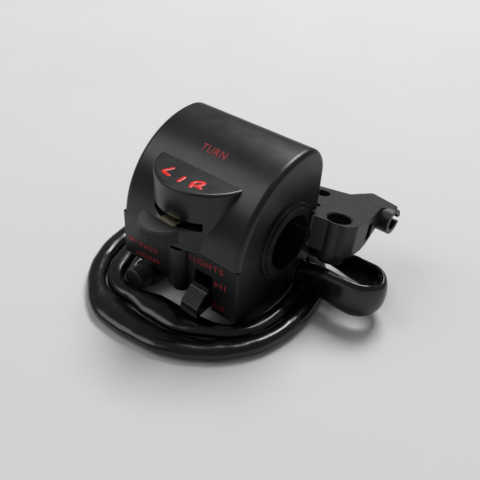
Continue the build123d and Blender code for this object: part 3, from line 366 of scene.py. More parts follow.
def button_abs(finish):
    # Moulded ABS with a light grain, handled until it shines a little
    return new_finish("grained_abs", finish.button, roughness=0.42, spread=0.05, grain=0.4, bump=0.006,
                      edge=0.25, worn_and_lit_edge=2.0)


def rotor_acetal(finish):
    # Natural acetal: waxy, cream and softly glossy
    return new_finish("natural_acetal", finish.rotor, roughness=0.34, spread=0.04, grain=0.8, bump=0.002,
                      edge=0.15, ior=1.48)


def phenolic_board(finish):
    # Pressed paper phenolic: brown, half matt, paler where its edges are cut
    return new_finish("paper_phenolic", finish.board, roughness=0.45, spread=0.06, grain=0.25, bump=0.004,
                      edge=0.1, worn_and_lit_edge=1.5, ior=1.6)


def lever_strip_metal(finish):
    # Yellow-passivated steel strip: pale straw metal with a cloudy gloss
    return new_finish("yellow_passivated_steel", finish.strip, roughness=0.33, spread=0.08, grain=0.2,
                      bump=0.003, edge=0.1, worn_and_lit_edge=1.15, metallic=1.0)


def contact_bronze(finish):
    # Stamped phosphor bronze: warm metal, bright along its edges
    return new_finish("phosphor_bronze", finish.copper, roughness=0.28, spread=0.08, grain=0.2, bump=0.002,
                      edge=0.08, worn_and_lit_edge=1.3, metallic=1.0)


def zinc_plate(finish):
    # Bright zinc plate: cool grey metal with a cloudy bloom
    return new_finish("zinc_plate", finish.zinc, roughness=0.35, spread=0.1, grain=0.3, bump=0.003, edge=0.12,
                      worn_and_lit_edge=1.2, metallic=1.0)


def oxide_steel(finish):
    # Oxide-blackened steel: a dark metal that shows bare at the head's edge
    return new_finish("oxide_blackened_steel", finish.black_steel, roughness=0.4, spread=0.08, grain=0.3,
                      bump=0.004, edge=0.2, worn_and_lit_edge=finish.spring, metallic=1.0)


def spring_wire(finish):
    # Drawn spring wire: smooth, grey and bright
    return new_finish("drawn_spring_wire", finish.spring, roughness=0.25, spread=0.06, grain=0.15, bump=0.001,
                      edge=0.05, worn_and_lit_edge=1.2, metallic=1.0)


def sheath_pvc(finish):
    # Plasticised PVC tube: soft, black and wet-looking, with dull smears where dust holds to it
    return new_finish("plasticised_pvc", finish.sheath, roughness=0.2, spread=0.07, grain=0.9, bump=0.01,
                      edge=0.05, ior=1.53)


def gland_epdm(finish):
    # Moulded EPDM rubber: matt black
    return new_finish("moulded_rubber", finish.rubber, roughness=0.55, spread=0.06, grain=0.3, bump=0.008,
                      edge=0.2, worn_and_lit_edge=2.2)


def sleeve_polyolefin(finish):
    # Heat-shrunk polyolefin: satin black with an uneven skin
    return new_finish("shrunk_polyolefin", finish.sleeve, roughness=0.4, spread=0.06, grain=0.8, bump=0.02,
                      edge=0.2, worn_and_lit_edge=1.8)


def plug_nylon(finish):
    # Natural nylon 66: milky, with light scattered a millimetre or two under its skin
    material = new_finish("natural_nylon", finish.nylon, roughness=0.38, spread=0.05, grain=0.6, bump=0.003,
                          edge=0.15)
    shader = principled(material)
    shader.inputs["Subsurface Weight"].default_value = 0.15
    shader.inputs["Subsurface Radius"].default_value = (0.002, 0.0016, 0.0012)
    return material


def legend_enamel(finish):
    # Red enamel rubbed into the legends: dull, thin and uneven
    return new_finish("rubbed_red_enamel", finish.legend, roughness=0.5, spread=0.08, grain=0.12, bump=0.004,
                      edge=0.02, worn_and_lit_edge=0.5)


def brushed_enamel(finish):
    # Red touch-up enamel laid on by brush: bright and glossy
    return new_finish("brushed_red_enamel", finish.bright_legend, roughness=0.3, spread=0.05, grain=0.4,
                      bump=0.01, edge=0.05)


def wire_pvc(name, colour):
    # Extruded PVC insulation: clean colour, satin
    return new_finish(name, colour, roughness=0.33, spread=0.04, grain=0.5, bump=0.002, edge=0.05)


def matt_paper(stage):
    # Matt paper: no gloss and an even, pale grey, clouded over about 110 mm
    material = bpy.data.materials.new("matt_paper")
    tree = empty_tree(material)
    place = add_node(tree, "ShaderNodeTexCoord").outputs["Object"]
    cloud = add_node(tree, "ShaderNodeTexNoise", {"Scale": 9.0, "Detail": 3.0}, {"Vector": place})
    colour = mottle(tree, cloud.outputs["Fac"], stage.floor_colour, (0.985, 1.015))
    surface = add_node(tree, "ShaderNodeBsdfPrincipled", {"Roughness": 0.75}, {"Base Color": colour})
    add_node(tree, "ShaderNodeOutputMaterial", links={"Surface": surface.outputs["BSDF"]})
    return material


# Meshes

def add_object(name, data):
    """A new object in the scene."""
    thing = bpy.data.objects.new(name, data)
    bpy.context.scene.collection.objects.link(thing)
    return thing


def add_piece(name, mesh, material):
    """A finished piece: an object at the origin with its place in its mesh, riding on the casing."""
    piece = add_object(name, mesh)
    mesh.materials.clear()
    mesh.materials.append(material)
    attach(piece, "casing")
    return piece


def evaluated_mesh(holder):
    """The mesh that an object's curve, text or modifier makes; the object itself is removed."""
    depsgraph = bpy.context.evaluated_depsgraph_get()
    mesh = bpy.data.meshes.new_from_object(holder.evaluated_get(depsgraph))
    bpy.data.objects.remove(holder)
    return mesh


def finished_mesh(name, bm):
    """The mesh that a bmesh holds; the bmesh is freed."""
    mesh = bpy.data.meshes.new(name)
    bm.to_mesh(mesh)
    bm.free()
    return mesh


def join_mesh(joined, mesh):
    """Adds a mesh to a bmesh and removes it."""
    joined.from_mesh(mesh)
    bpy.data.meshes.remove(mesh)


def section_ring(centre, side, up, half_width, half_height, sides, fullness=2.0):
    """Points of a ring round a centre: an ellipse at a fullness of 2, and squarer above it."""
    ring = []
    for index in range(sides):
        angle = 2 * pi * index / sides
        across = copysign(abs(cos(angle)) ** (2 / fullness), cos(angle))
        rise = copysign(abs(sin(angle)) ** (2 / fullness), sin(angle))
        ring.append(centre + side * (half_width * across) + up * (half_height * rise))
    return ring


def tube_mesh(name, centres, section):
    """A closed tube along centres; section(index, side, up) gives the ring of points at each."""
    bm = bmesh.new()
    rings = []
    for index, centre in enumerate(centres):
        before = centres[max(index - 1, 0)]
        after = centres[min(index + 1, len(centres) - 1)]
        way = (after - before).normalized()
        side = way.cross(Vector((0, 0, 1))).normalized()
        up = side.cross(way)
        rings.append([bm.verts.new(point) for point in section(index, side, up)])
    for ring, following in zip(rings, rings[1:]):
        count = len(ring)
        for index in range(count):
            beside = (index + 1) % count
            bm.faces.new((ring[index], ring[beside], following[beside], following[index]))
    bm.faces.new(list(reversed(rings[0])))
    bm.faces.new(rings[-1])
    bmesh.ops.recalc_face_normals(bm, faces=bm.faces)
    mesh = finished_mesh(name, bm)
    mesh.shade_smooth()
    return mesh


def spline_points(points, resolution):
    """Points of the smooth NURBS line that has the given control points."""
    curve = bpy.data.curves.new("route", "CURVE")
    curve.dimensions = "3D"
    curve.resolution_u = resolution
    spline = curve.splines.new("NURBS")
    spline.points.add(len(points) - 1)
    for target, point in zip(spline.points, points):
        target.co = (*point, 1.0)
    spline.order_u = 3
    spline.use_endpoint_u = True
    line = evaluated_mesh(add_object("route", curve))
    places = [vertex.co.copy() for vertex in line.vertices]
    bpy.data.curves.remove(curve)
    bpy.data.meshes.remove(line)
    return places


def evenly(points, step):
    """The same line with its points about a step apart, and its length."""
    rounding = 1e-9
    total = sum((b - a).length for a, b in zip(points, points[1:]))
    count = max(2, round(total / step))
    spacing = total / count
    places = [points[0].copy()]
    travelled = 0.0
    wanted = spacing
    for a, b in zip(points, points[1:]):
        run = (b - a).length
        while run > 0 and travelled + run >= wanted - rounding and len(places) < count:
            places.append(a.lerp(b, (wanted - travelled) / run))
            wanted += spacing
        travelled += run
    places.append(points[-1].copy())
    return places, total


def smoothstep(share):
    """A share from 0 to 1, eased at both ends."""
    share = min(max(share, 0.0), 1.0)
    return share * share * (3 - 2 * share)


def between_stations(stations, place):
    """Values at a place along a line, eased between (place, values) stations."""
    if place <= stations[0][0]:
        return stations[0][1]
    for (low, first), (high, second) in zip(stations, stations[1:]):
        if place <= high:
            share = smoothstep((place - low) / (high - low))
            return tuple(a + (b - a) * share for a, b in zip(first, second))
    return stations[-1][1]


# The loom's route, in millimetres: out of the gland, round its loop and back behind the casing, then two
# turns round the casing on the floor, each given by its reach from the coil's centre at every turn step

LEAD_ROUTE = [
    (31.9, 8.0, -17.4), (42.5, 7.4, -16.6), (59.1, 7.2, -17.5), (64.2, 16.1, -17.7),
    (59.1, 25.0, -18.0), (43.0, 26.2, -18.1), (27.0, 25.9, -18.2), (15.0, 25.2, -18.2),
    (9.2, 25.2, -18.2), (-1.0, 25.2, -20.9), (-8.0, 25.2, -22.8),
]
COIL_CENTRE = (-3.0, -8.0)
TURN_STEP = 30.0
FIRST_TURN_ANGLE = 120.0
INNER_TURN_REACH = [34.5, 36.6, 35.4, 35.4, 39.1, 30.0, 33.9, 41.3, 39.0, 41.2, 42.2, 43.0]
OUTER_TURN_REACH = [43.2, 44.2, 43.8, 44.4, 47.0, 44.2, 46.2, 48.0, 46.4, 48.0, 49.6, 51.0]
COIL_LEVEL = -27.1
COIL_ENTRY_LEVEL = -25.4
TAIL_END = (-10.2, 43.0, -26.6)


def loom_route():
    """Control points of the loom's centre line, in metres."""
    points = [Vector(point) for point in LEAD_ROUTE]
    for index, reach in enumerate(INNER_TURN_REACH + OUTER_TURN_REACH):
        angle = radians(FIRST_TURN_ANGLE + TURN_STEP * index)
        level = COIL_ENTRY_LEVEL if index == 0 else COIL_LEVEL
        points.append(Vector((COIL_CENTRE[0] + reach * cos(angle),
                              COIL_CENTRE[1] + reach * sin(angle), level)))
    points.append(Vector(TAIL_END))
    return [point * MM for point in points]


# Operators

class SWITCH_OT_stage(bpy.types.Operator):
    """Makes the floor, the soft lights and the camera at the photograph's angle"""
    bl_idname = "switch.stage"
    bl_label = "Stage"

    # Places in metres; the camera's right and up are solved from the photograph
    camera_place = (0.1294, -0.1576, 0.1342)
    camera_right = (0.765, 0.641, 0.0535)
    camera_up = (-0.411, 0.424, 0.807)
    key_place = (-0.27, 0.85, 1.42)
    fill_place = (-0.66, -0.55, 0.95)
    room_colour = "#F4F6FA"

    def execute(self, context):
        stage = settings("switch_stage")
        self.add_floor(stage)
        self.add_world(stage)
        self.add_lamp("key", self.key_place, stage.key_power, stage.key_size)
        self.add_lamp("fill", self.fill_place, stage.fill_power, stage.key_size)
        self.add_camera(stage)
        context.scene.view_settings.view_transform = "Standard"
        return {"FINISHED"}

    def add_floor(self, stage):
        half = stage.floor_size / 2
        level = cad_box[0].z
        mesh = bpy.data.meshes.new("floor")
        corners = [(x, y, level) for x, y in ((-half, -half), (half, -half), (half, half), (-half, half))]
        mesh.from_pydata(corners, [], [(0, 1, 2, 3)])
        mesh.materials.append(matt_paper(stage))
        add_object("floor", mesh)

    def add_world(self, stage):
        world = bpy.data.worlds.new("room")
        bpy.context.scene.world = world
        tree = empty_tree(world)
        background = add_node(tree, "ShaderNodeBackground",
                              {"Color": opaque(linear(self.room_colour)), "Strength": stage.world_strength})
        add_node(tree, "ShaderNodeOutputWorld", links={"Surface": background.outputs["Background"]})

    def add_lamp(self, name, place, power, size):
        lamp = bpy.data.lights.new(name, "AREA")
        lamp.shape = "SQUARE"
        lamp.size = size
        lamp.energy = power
        holder = add_object(name, lamp)
        holder.location = place
        holder.rotation_euler = Vector(place).to_track_quat("Z", "Y").to_euler()

    def add_camera(self, stage):
        camera = bpy.data.cameras.new("camera")
        camera.lens = stage.lens
        camera.sensor_width = 36.0
        camera.clip_start = 0.01
        camera.dof.use_dof = False
        holder = add_object("camera", camera)
        right = Vector(self.camera_right).normalized()
        back = right.cross(Vector(self.camera_up)).normalized()
        up = back.cross(right)
        turn = Matrix((right, up, back)).transposed().to_4x4()
        holder.matrix_world = Matrix.Translation(self.camera_place) @ turn
        bpy.context.scene.camera = holder


class SWITCH_OT_carried_finishes(bpy.types.Operator):
    """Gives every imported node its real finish"""
    bl_idname = "switch.carried_finishes"
    bl_label = "Finishes of the packed nodes"

    wire_colour = "#3A3A3C"

    def execute(self, context):
        finish = settings("switch_finish")
        made = {
            "housing_paint": casing_enamel(finish),
            "bracket_paint": bracket_enamel(finish),
            "knob_plastic": knob_nylon(finish),
            "button_plastic": button_abs(finish),
            "rotor_plastic": rotor_acetal(finish),
            "board": phenolic_board(finish),
            "brass_sheet": lever_strip_metal(finish),
            "copper_contact": contact_bronze(finish),
            "zinc_steel": zinc_plate(finish),
            "black_steel": oxide_steel(finish),
            "spring_steel": spring_wire(finish),
            "sheath": sheath_pvc(finish),
            "gland_rubber": gland_epdm(finish),
            "sleeve_plastic": sleeve_polyolefin(finish),
            "wire_plastic": wire_pvc("wire_insulation", linear(self.wire_colour)),
            "plug_nylon": plug_nylon(finish),
        }
        for node in frame["nodes"].values():
            for holder in node.material_slots:
                holder.material = made[holder.material.name.split(".")[0]]
        frame["nodes"]["dimmer_lever"].material_slots[0].material = lever_abs(finish)
        return {"FINISHED"}


class SWITCH_OT_loom(bpy.types.Operator):
    """Makes the loom: dented sheath, coloured wires and the plug's terminals"""
    bl_idname = "switch.loom"
    bl_label = "Loom"

    wire_colours = ["#2E5E3A", "#B8B52E", "#5A3A25", "#2C4F8C", "#A8A8A6", "#C2571E", "#1B1B1C"]
    # In millimetres: the loom's exit, the sockets' depth, the height of the plug's body, and how far a wire
    # wanders across and up
    exit_place = LEAD_ROUTE[0]
    socket_depth = 6.0
    plug_height = 8.0
    wire_sway = (0.25, 0.2)
    # How a wire's wandering changes from one wire to the next, and the shares of its length where it turns
    sway_change = (2.1, 1.7)
    sway_places = (0.35, 0.7)
    socket_columns = 3
    socket_rows = 2
    sheath_fullness = 2.3
    # By the dents' size: how fast they change along the sheath, and how large the finer wrinkles are
    dent_drift = 2.2
    wrinkle_size = 0.35
    # By the dents' depth
    wrinkle_depth = 0.3
    route_resolution = 24
    wire_resolution = 12
    wire_sides = 14
    # Half width and half height of the sheath, in millimetres, at lengths along it: round in the gland,
    # pressed into an upright band round the loop, then flat on the floor and fuller beside the casing
    stations = [
        (0, (3.5, 4.4)), (4, (3.2, 5.8)), (9, (2.6, 6.9)), (14, (2.4, 7.3)), (20, (2.1, 7.7)),
        (29, (2.0, 7.7)), (36, (2.3, 6.4)), (44, (2.0, 7.0)), (56, (2.4, 5.6)), (68, (4.0, 3.1)),
        (86, (4.15, 2.8)), (118, (3.9, 2.9)), (130, (3.3, 2.8)), (152, (3.3, 2.8)), (172, (4.1, 2.8)),
        (188, (3.6, 3.0)), (206, (3.6, 3.0)), (217, (6.0, 2.5)), (228, (6.2, 2.5)), (247, (3.5, 3.0)),
        (254, (3.2, 3.1)), (330, (3.4, 3.0)), (355, (4.2, 2.8)), (400, (4.2, 2.8)), (418, (3.7, 3.1)),
        (446, (3.8, 3.1)), (460, (6.0, 2.6)), (484, (5.6, 2.6)), (512, (3.9, 2.9)), (545, (3.3, 3.2)),
        (575, (3.8, 2.9)), (660, (3.6, 3.3)),
    ]

    def execute(self, context):
        loom = settings("switch_loom")
        finish = settings("switch_finish")
        route, length = evenly(spline_points(loom_route(), self.route_resolution), loom.ring_step)
        sheath = self.add_sheath(loom, finish, route)
        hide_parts("loom_lead", "loom_coil")
        wires = self.add_wires(loom)
        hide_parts("loom_wires")
        terminals = self.add_terminals(loom, finish)
        return {"FINISHED"}

    def add_sheath(self, loom, finish, route):
        floor_level = cad_box[0].z

        def section(index, side, up):
            along = index * loom.ring_step
            half_width, half_height = between_stations(self.stations, along / MM)
            centre = route[index]
            drift = Vector((along / (self.dent_drift * loom.dent_size), 0, 0))
            dented = []
            for point in section_ring(centre, side, up, half_width * MM, half_height * MM, loom.ring_sides,
                                      self.sheath_fullness):
                out = point - centre
                dent = noise.noise(point / loom.dent_size + drift)
                wrinkle = noise.noise(point / (self.wrinkle_size * loom.dent_size))
                depth = (dent + self.wrinkle_depth * wrinkle) * loom.dent_depth
                dented_point = centre + out * (1 + depth / out.length)
                dented_point.z = max(dented_point.z, floor_level)
                dented.append(dented_point)
            return dented

        mesh = tube_mesh("loom_sheath", route, section)
        return add_piece("loom_sheath", mesh, sheath_pvc(finish))

    def add_wires(self, loom):
        low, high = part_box("loom_wires")
        middle = (low + high) / 2
        places = [Vector((0, 0, 0))]
        outer_wires = len(self.wire_colours) - 1
        for index in range(outer_wires):
            angle = 2 * pi * index / outer_wires
            places.append(Vector((0, cos(angle), sin(angle))) * loom.wire_circle)
        joined = bmesh.new()
        materials = []
        wire_of_face = []
        for number, (place, colour) in enumerate(zip(places, self.wire_colours)):
            start = Vector((high.x, middle.y, middle.z)) + place
            end = Vector((low.x, middle.y, middle.z)) + place
            sway = Vector((0, self.wire_sway[0] * MM * sin(number * self.sway_change[0]),
                           self.wire_sway[1] * MM * cos(number * self.sway_change[1])))
            line = spline_points([start, start.lerp(end, self.sway_places[0]) + sway,
                                  start.lerp(end, self.sway_places[1]) - sway, end], self.wire_resolution)

            def section(index, side, up, line=line):
                radius = loom.wire_radius
                return section_ring(line[index], side, up, radius, radius, self.wire_sides)

            mesh = tube_mesh("wire", line, section)
            wire_of_face += [number] * len(mesh.polygons)
            join_mesh(joined, mesh)
            materials.append(wire_pvc("wire_" + str(number + 1), linear(colour)))
        mesh = finished_mesh("loom_wire_ends", joined)
        piece = add_piece("loom_wire_ends", mesh, materials[0])
        for material in materials[1:]:
            mesh.materials.append(material)
        mesh.polygons.foreach_set("material_index", wire_of_face)
        return piece

    def add_terminals(self, loom, finish):
        """Terminals standing in the plug's sockets, by geometry nodes."""
        low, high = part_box("loom_plug")
        material = contact_bronze(finish)
        values = {"Columns": self.socket_columns, "Rows": self.socket_rows,
                  "Column Step": loom.terminal_column_step, "Row Step": loom.terminal_row_step,
                  "Radius": loom.terminal_radius, "Length": loom.terminal_length, "Finish": material}
        mesh = baked(terminal_tree("plug_terminal_nodes"), values)
        foot = low.x + self.socket_depth * MM
        place = Vector((foot - loom.terminal_length / 2, (low.y + high.y) / 2,
                        low.z + self.plug_height / 2 * MM))
        # The grid's columns go along Y, its rows up Z, and the terminals along X
        lying = Matrix(((0, 0, 1), (1, 0, 0), (0, 1, 0))).to_4x4()
        mesh.transform(Matrix.Translation(place) @ lying)
        return add_piece("plug_terminals", mesh, material)


class SWITCH_OT_legends(bpy.types.Operator):
    """Lays the printed legends on the panel and drum, and the brushed letters on the hood"""
    bl_idname = "switch.legends"
    bl_label = "Legends"

    # Each legend: its letters, the feet of its start and its end, and its height, in millimetres; feet are
    # (X, Z) on the panel and (X, Y) on the drum
    panel_legends = [
        ("PASS", (-20.6, -13.3), (-10.6, -12.2), 2.3),
        ("HORN", (-22.3, -18.3), (-9.8, -16.8), 2.3),
        ("LIGHTS", (6.2, -5.4), (22.9, -4.2), 2.6),
        ("HI", (19.1, -10.7), (24.3, -10.4), 2.3),
        ("L", (19.1, -20.9), (20.9, -20.7), 2.8),
        ("O", (21.9, -20.6), (23.8, -20.3), 2.2),
    ]
    turn_legend = ("TURN", (-6.2, -10.0), (5.6, -10.0), 2.9)
    arrow = [(-27.0, -10.7), (-27.0, -13.4), (-21.4, -11.7)]
    # The hood's flat top, and on it each brushed stroke's middle line as (X, Y), in millimetres
    hood_level = 24.5
    hood_letters = [
        [(-7.6, -20.9), (-8.5, -23.3), (-9.4, -25.6), (-7.2, -26.0), (-4.8, -26.3)],
        [(-0.6, -22.7), (-0.5, -25.0), (-0.3, -27.4)],
        [(5.4, -27.2), (4.6, -25.4), (3.8, -23.2), (5.6, -21.7), (7.2, -21.2), (7.3, -23.0), (6.4, -24.9),
         (4.9, -25.3)],
        [(6.3, -24.9), (7.8, -24.9), (9.1, -25.0)],
    ]
    # In millimetres: how far off the rays start that find the surface, and the steps along a stroke
    ray_start = 100.0
    stroke_step = 0.25
    letter_spacing = 1.16
    letter_weight = 0.022
    letter_resolution = 4
    stroke_resolution = 8
    stroke_sides = 12
    # By a stroke's full width: its width at its very ends, squared, and how far the brush wavers
    stroke_end = 0.08
    brush_waver = 0.12
    wavers_per_metre = 900

    def execute(self, context):
        finish = settings("switch_finish")
        legend = settings("switch_legend")
        dull = legend_enamel(finish)
        panel = bmesh.new()
        for row in self.panel_legends:
            self.add_words(panel, *row, Matrix.Rotation(pi / 2, 4, "X"))
        panel.faces.new([panel.verts.new((x * MM, 0, z * MM)) for x, z in self.arrow])
        self.lay_on(panel, "lower_housing", Vector((0, 1, 0)), legend.film)
        add_piece("panel_legends", finished_mesh("panel_legends", panel), dull)
        drum = bmesh.new()
        self.add_words(drum, *self.turn_legend, Matrix.Identity(4))
        self.lay_on(drum, "upper_housing", Vector((0, 0, -1)), legend.film)
        add_piece("turn_legend", finished_mesh("turn_legend", drum), dull)
        self.add_brushed_letters(legend, brushed_enamel(finish))
        return {"FINISHED"}

    def add_words(self, target, words, first_foot, last_foot, height, stand):
        """Letters as flat faces, fitted between two feet and turned by stand to the plane they lie on."""
        text = bpy.data.curves.new("words", "FONT")
        text.body = words
        text.resolution_u = self.letter_resolution
        text.space_character = self.letter_spacing
        text.offset = self.letter_weight
        mesh = evaluated_mesh(add_object("words", text))
        bpy.data.curves.remove(text)
        xs = [vertex.co.x for vertex in mesh.vertices]
        ys = [vertex.co.y for vertex in mesh.vertices]
        run = (Vector(last_foot) - Vector(first_foot)) * MM
        slope = atan2(run.y, run.x)
        fit = (Matrix.Translation((first_foot[0] * MM, first_foot[1] * MM, 0))
               @ Matrix.Rotation(slope, 4, "Z")
               @ Matrix.Diagonal((run.length / (max(xs) - min(xs)), height * MM / (max(ys) - min(ys)), 1, 1))
               @ Matrix.Translation((-min(xs), -min(ys), 0)))
        mesh.transform(stand @ fit)
        join_mesh(target, mesh)

    def lay_on(self, letters, node, towards, film):
        """Moves each point along a direction until it lies a paint film off a node's surface."""
        surface = BVHTree.FromObject(frame["nodes"][node], bpy.context.evaluated_depsgraph_get())
        start = -towards * self.ray_start * MM
        for vertex in letters.verts:
            flat = vertex.co - towards * vertex.co.dot(towards)
            place = surface.ray_cast(flat + start, towards)[0]
            if place is None:
                raise RuntimeError("a legend misses " + node)
            vertex.co = place - towards * film
        for face in letters.faces:
            face.normal_update()
            if face.normal.dot(towards) > 0:
                face.normal_flip()

    def add_brushed_letters(self, legend, material):
        """Strokes of thick paint on the hood's top, domed and round at both ends."""
        level = self.hood_level * MM
        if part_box("upper_housing")[1].z < level:
            raise RuntimeError("the hood letters lie above the casing")
        joined = bmesh.new()
        for stroke in self.hood_letters:
            points = [Vector((x * MM, y * MM, level)) for x, y in stroke]
            line, length = evenly(spline_points(points, self.stroke_resolution), self.stroke_step * MM)
            last = len(line) - 1

            def section(index, side, up, line=line, last=last, length=length):
                from_end = min(index, last - index) / last * length
                swell = min(1.0, (from_end / legend.stroke + self.stroke_end) ** 0.5)
                brush = 1 + self.brush_waver * noise.noise(line[index] * self.wavers_per_metre)
                wide = legend.stroke * swell * brush
                return section_ring(line[index], side, up, wide, wide * legend.stroke_rise, self.stroke_sides)

            join_mesh(joined, tube_mesh("stroke", line, section))
        add_piece("hood_letters", finished_mesh("hood_letters", joined), material)


class SWITCH_OT_threads(bpy.types.Operator):
    """Cuts the look of threads into the mirror and adjuster holes, by geometry nodes"""
    bl_idname = "switch.threads"
    bl_label = "Threads"

    def execute(self, context):
        thread = settings("switch_thread")
        mounts = {mount["name"]: mount for mount in frame["record"]["mounts"]}
        material = bracket_enamel(settings("switch_finish"))
        rows = [("mirror_thread", "mirror_hole", thread.mirror_pitch, 0.0),
                ("adjuster_thread", "cable_adjuster", thread.adjuster_pitch, thread.adjuster_opening)]
        for name, hole, pitch, opening in rows:
            self.add_thread(name, mounts[hole], pitch, thread.ridge, opening, material)
        return {"FINISHED"}

    def add_thread(self, name, mount, pitch, ridge, opening, material):
        """A thread's ridges along a mount's hole, with an arc left open where the hole is slit."""
        radius, length = (mount["dims"][key] * MM for key in ("r_mm", "length_mm"))
        axis = Vector(mount["axis"]).normalized()
        values = {"Radius": radius, "Length": length - 2 * ridge, "Pitch": pitch, "Ridge": ridge,
                  "Opening": opening, "Finish": material}
        mesh = baked(thread_tree(name + "_nodes"), values)
        turn = axis.to_track_quat("Z", "Y").to_matrix().to_4x4()
        foot = Vector(mount["pos_m"]) - axis * (length / 2 - ridge)
        mesh.transform(Matrix.Translation(foot) @ turn)
        add_piece(name, mesh, material)


# Points round a terminal, along a thread's ring and round its ridge
TERMINAL_SIDES = 20
RING_POINTS = 48
RIDGE_SIDES = 4


def baked(tree, values):
    """The mesh that a node tree makes with these values on its named inputs."""
    holder = add_object(tree.name, bpy.data.meshes.new(tree.name))
    modifier = holder.modifiers.new("made", "NODES")
    modifier.node_group = tree
    for item in tree.interface.items_tree:
        if item.item_type == "SOCKET" and item.in_out == "INPUT":
            modifier[item.identifier] = values[item.name]
    mesh = evaluated_mesh(holder)
    if not mesh.polygons:
        raise RuntimeError(tree.name + " makes no faces")
    return mesh


def new_tree(name, sizes, counts=()):
    """A geometry node tree with named inputs: sizes in metres or radians, whole numbers, and its finish."""
    tree = bpy.data.node_groups.new(name, "GeometryNodeTree")
    sockets = [(label, "NodeSocketInt") for label in counts]
    sockets += [(label, "NodeSocketFloat") for label in sizes]
    for label, kind in sockets + [("Finish", "NodeSocketMaterial")]:
        tree.interface.new_socket(label, in_out="INPUT", socket_type=kind)
    tree.interface.new_socket("Mesh", in_out="OUTPUT", socket_type="NodeSocketGeometry")
    return tree


def terminal_tree(name):
    """Node tree: round terminals on a grid, standing along Z."""
    tree = new_tree(name, ["Column Step", "Row Step", "Radius", "Length"], ["Columns", "Rows"])
    inputs = add_node(tree, "NodeGroupInput").outputs
    sizes = []
    for count, step in (("Columns", "Column Step"), ("Rows", "Row Step")):
        gaps = add_node(tree, "ShaderNodeMath", {"operation": "SUBTRACT", 1: 1.0}, {0: inputs[count]})
        size = add_node(tree, "ShaderNodeMath", {"operation": "MULTIPLY"},
                        {0: gaps.outputs["Value"], 1: inputs[step]})
        sizes.append(size.outputs["Value"])
    grid = add_node(tree, "GeometryNodeMeshGrid",
                    links={"Size X": sizes[0], "Size Y": sizes[1],
                           "Vertices X": inputs["Columns"], "Vertices Y": inputs["Rows"]})
    terminal = add_node(tree, "GeometryNodeMeshCylinder", {"Vertices": TERMINAL_SIDES},
                        {"Radius": inputs["Radius"], "Depth": inputs["Length"]})
    rows = add_node(tree, "GeometryNodeInstanceOnPoints",
                    links={"Points": grid.outputs["Mesh"], "Instance": terminal.outputs["Mesh"]})
    loose = add_node(tree, "GeometryNodeRealizeInstances", links={"Geometry": rows.outputs["Instances"]})
    finished = add_node(tree, "GeometryNodeSetMaterial",
                        links={"Geometry": loose.outputs["Geometry"], "Material": inputs["Finish"]})
    add_node(tree, "NodeGroupOutput", links={"Mesh": finished.outputs["Geometry"]})
    return tree


def thread_tree(name):
    """Node tree: rings of a thread's ridge, a pitch apart, along a hole."""
    tree = new_tree(name, ["Radius", "Length", "Pitch", "Ridge", "Opening"])
    inputs = add_node(tree, "NodeGroupInput").outputs
    half = add_node(tree, "ShaderNodeMath", {"operation": "MULTIPLY", 1: 0.5}, {0: inputs["Opening"]})
    sweep = add_node(tree, "ShaderNodeMath", {"operation": "SUBTRACT", 0: 2 * pi}, {1: inputs["Opening"]})
    arc = add_node(tree, "GeometryNodeCurveArc", {"Resolution": RING_POINTS},
                   {"Radius": inputs["Radius"], "Start Angle": half.outputs["Value"],
                    "Sweep Angle": sweep.outputs["Value"]})
    steps = add_node(tree, "ShaderNodeMath", {"operation": "DIVIDE"},
                     {0: inputs["Length"], 1: inputs["Pitch"]})
    offset = add_node(tree, "ShaderNodeCombineXYZ", links={"Z": inputs["Pitch"]})
    line = add_node(tree, "GeometryNodeMeshLine",
                    links={"Count": steps.outputs["Value"], "Offset": offset.outputs["Vector"]})
    rings = add_node(tree, "GeometryNodeInstanceOnPoints",
                     links={"Points": line.outputs["Mesh"], "Instance": arc.outputs["Curve"]})
    loose = add_node(tree, "GeometryNodeRealizeInstances", links={"Geometry": rings.outputs["Instances"]})
    profile = add_node(tree, "GeometryNodeCurvePrimitiveCircle", {"Resolution": RIDGE_SIDES},
                       {"Radius": inputs["Ridge"]})
    solid = add_node(tree, "GeometryNodeCurveToMesh", {"Fill Caps": True},
                     {"Curve": loose.outputs["Geometry"], "Profile Curve": profile.outputs["Curve"]})
    finished = add_node(tree, "GeometryNodeSetMaterial",
                        links={"Geometry": solid.outputs["Mesh"], "Material": inputs["Finish"]})
    add_node(tree, "NodeGroupOutput", links={"Mesh": finished.outputs["Geometry"]})
    return tree


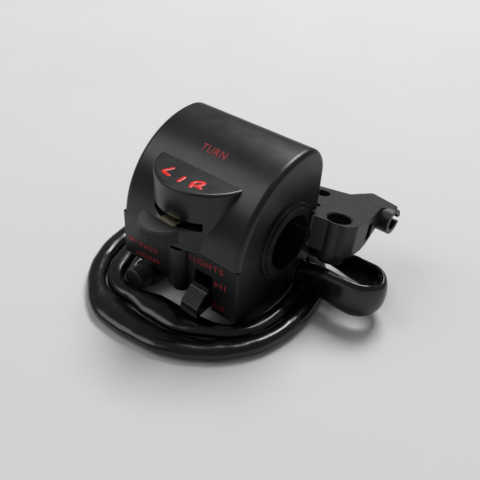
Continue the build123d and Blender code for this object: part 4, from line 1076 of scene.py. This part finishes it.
class SWITCH_OT_springs(bpy.types.Operator):
    """Makes the buttons' return springs as smooth copies of the imported springs, in their place"""
    bl_idname = "switch.springs"
    bl_label = "Return springs"

    # Each spring: its node, its button's joint, and the way along Y from its fixed end to the button
    springs = [("horn_spring", "horn_press", -1), ("pass_spring", "pass_press", 1)]
    # In millimetres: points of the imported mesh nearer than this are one
    merge_distance = 0.002
    crease_angle = radians(50)

    def execute(self, context):
        material = spring_wire(settings("switch_finish"))
        for node, joint, way in self.springs:
            coil = self.add_coil(node, material)
            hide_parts(node)
            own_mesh(coil)
        return {"FINISHED"}

    def add_coil(self, node, material):
        """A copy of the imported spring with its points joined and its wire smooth."""
        source = frame["nodes"][node]
        bm = bmesh.new()
        bm.from_mesh(source.data)
        bmesh.ops.transform(bm, matrix=source.matrix_world, verts=bm.verts)
        bmesh.ops.remove_doubles(bm, verts=bm.verts, dist=self.merge_distance * MM)
        bmesh.ops.recalc_face_normals(bm, faces=bm.faces)
        mesh = finished_mesh(node + "_coil", bm)
        mesh.shade_smooth()
        mesh.set_sharp_from_angle(angle=self.crease_angle)
        return add_piece(node + "_coil", mesh, material)


class SWITCH_PT_panel(bpy.types.Panel):
    """Lists the steps that dress the switch cluster"""
    bl_idname = "SWITCH_PT_panel"
    bl_label = "Switch Cluster"
    bl_space_type = "VIEW_3D"
    bl_region_type = "UI"
    bl_category = "Switch"

    def draw(self, context):
        for step in STEPS:
            self.layout.operator(step.bl_idname)


SETTINGS = {
    "switch_stage": StageSettings,
    "switch_finish": FinishSettings,
    "switch_loom": LoomSettings,
    "switch_legend": LegendSettings,
    "switch_thread": ThreadSettings,
}
STEPS = (
    SWITCH_OT_stage,
    SWITCH_OT_carried_finishes,
    SWITCH_OT_loom,
    SWITCH_OT_legends,
    SWITCH_OT_threads,
    SWITCH_OT_springs,
)


def register():
    for name, group in SETTINGS.items():
        bpy.utils.register_class(group)
        setattr(bpy.types.Scene, name, bpy.props.PointerProperty(type=group))
    for step in STEPS:
        bpy.utils.register_class(step)
    bpy.utils.register_class(SWITCH_PT_panel)


def unregister():
    bpy.utils.unregister_class(SWITCH_PT_panel)
    for step in reversed(STEPS):
        bpy.utils.unregister_class(step)
    for name, group in reversed(list(SETTINGS.items())):
        delattr(bpy.types.Scene, name)
        bpy.utils.unregister_class(group)


def main():
    register()
    for step in STEPS:
        area, action = step.bl_idname.split(".")
        getattr(getattr(bpy.ops, area), action)()


if __name__ == "__main__":
    main()
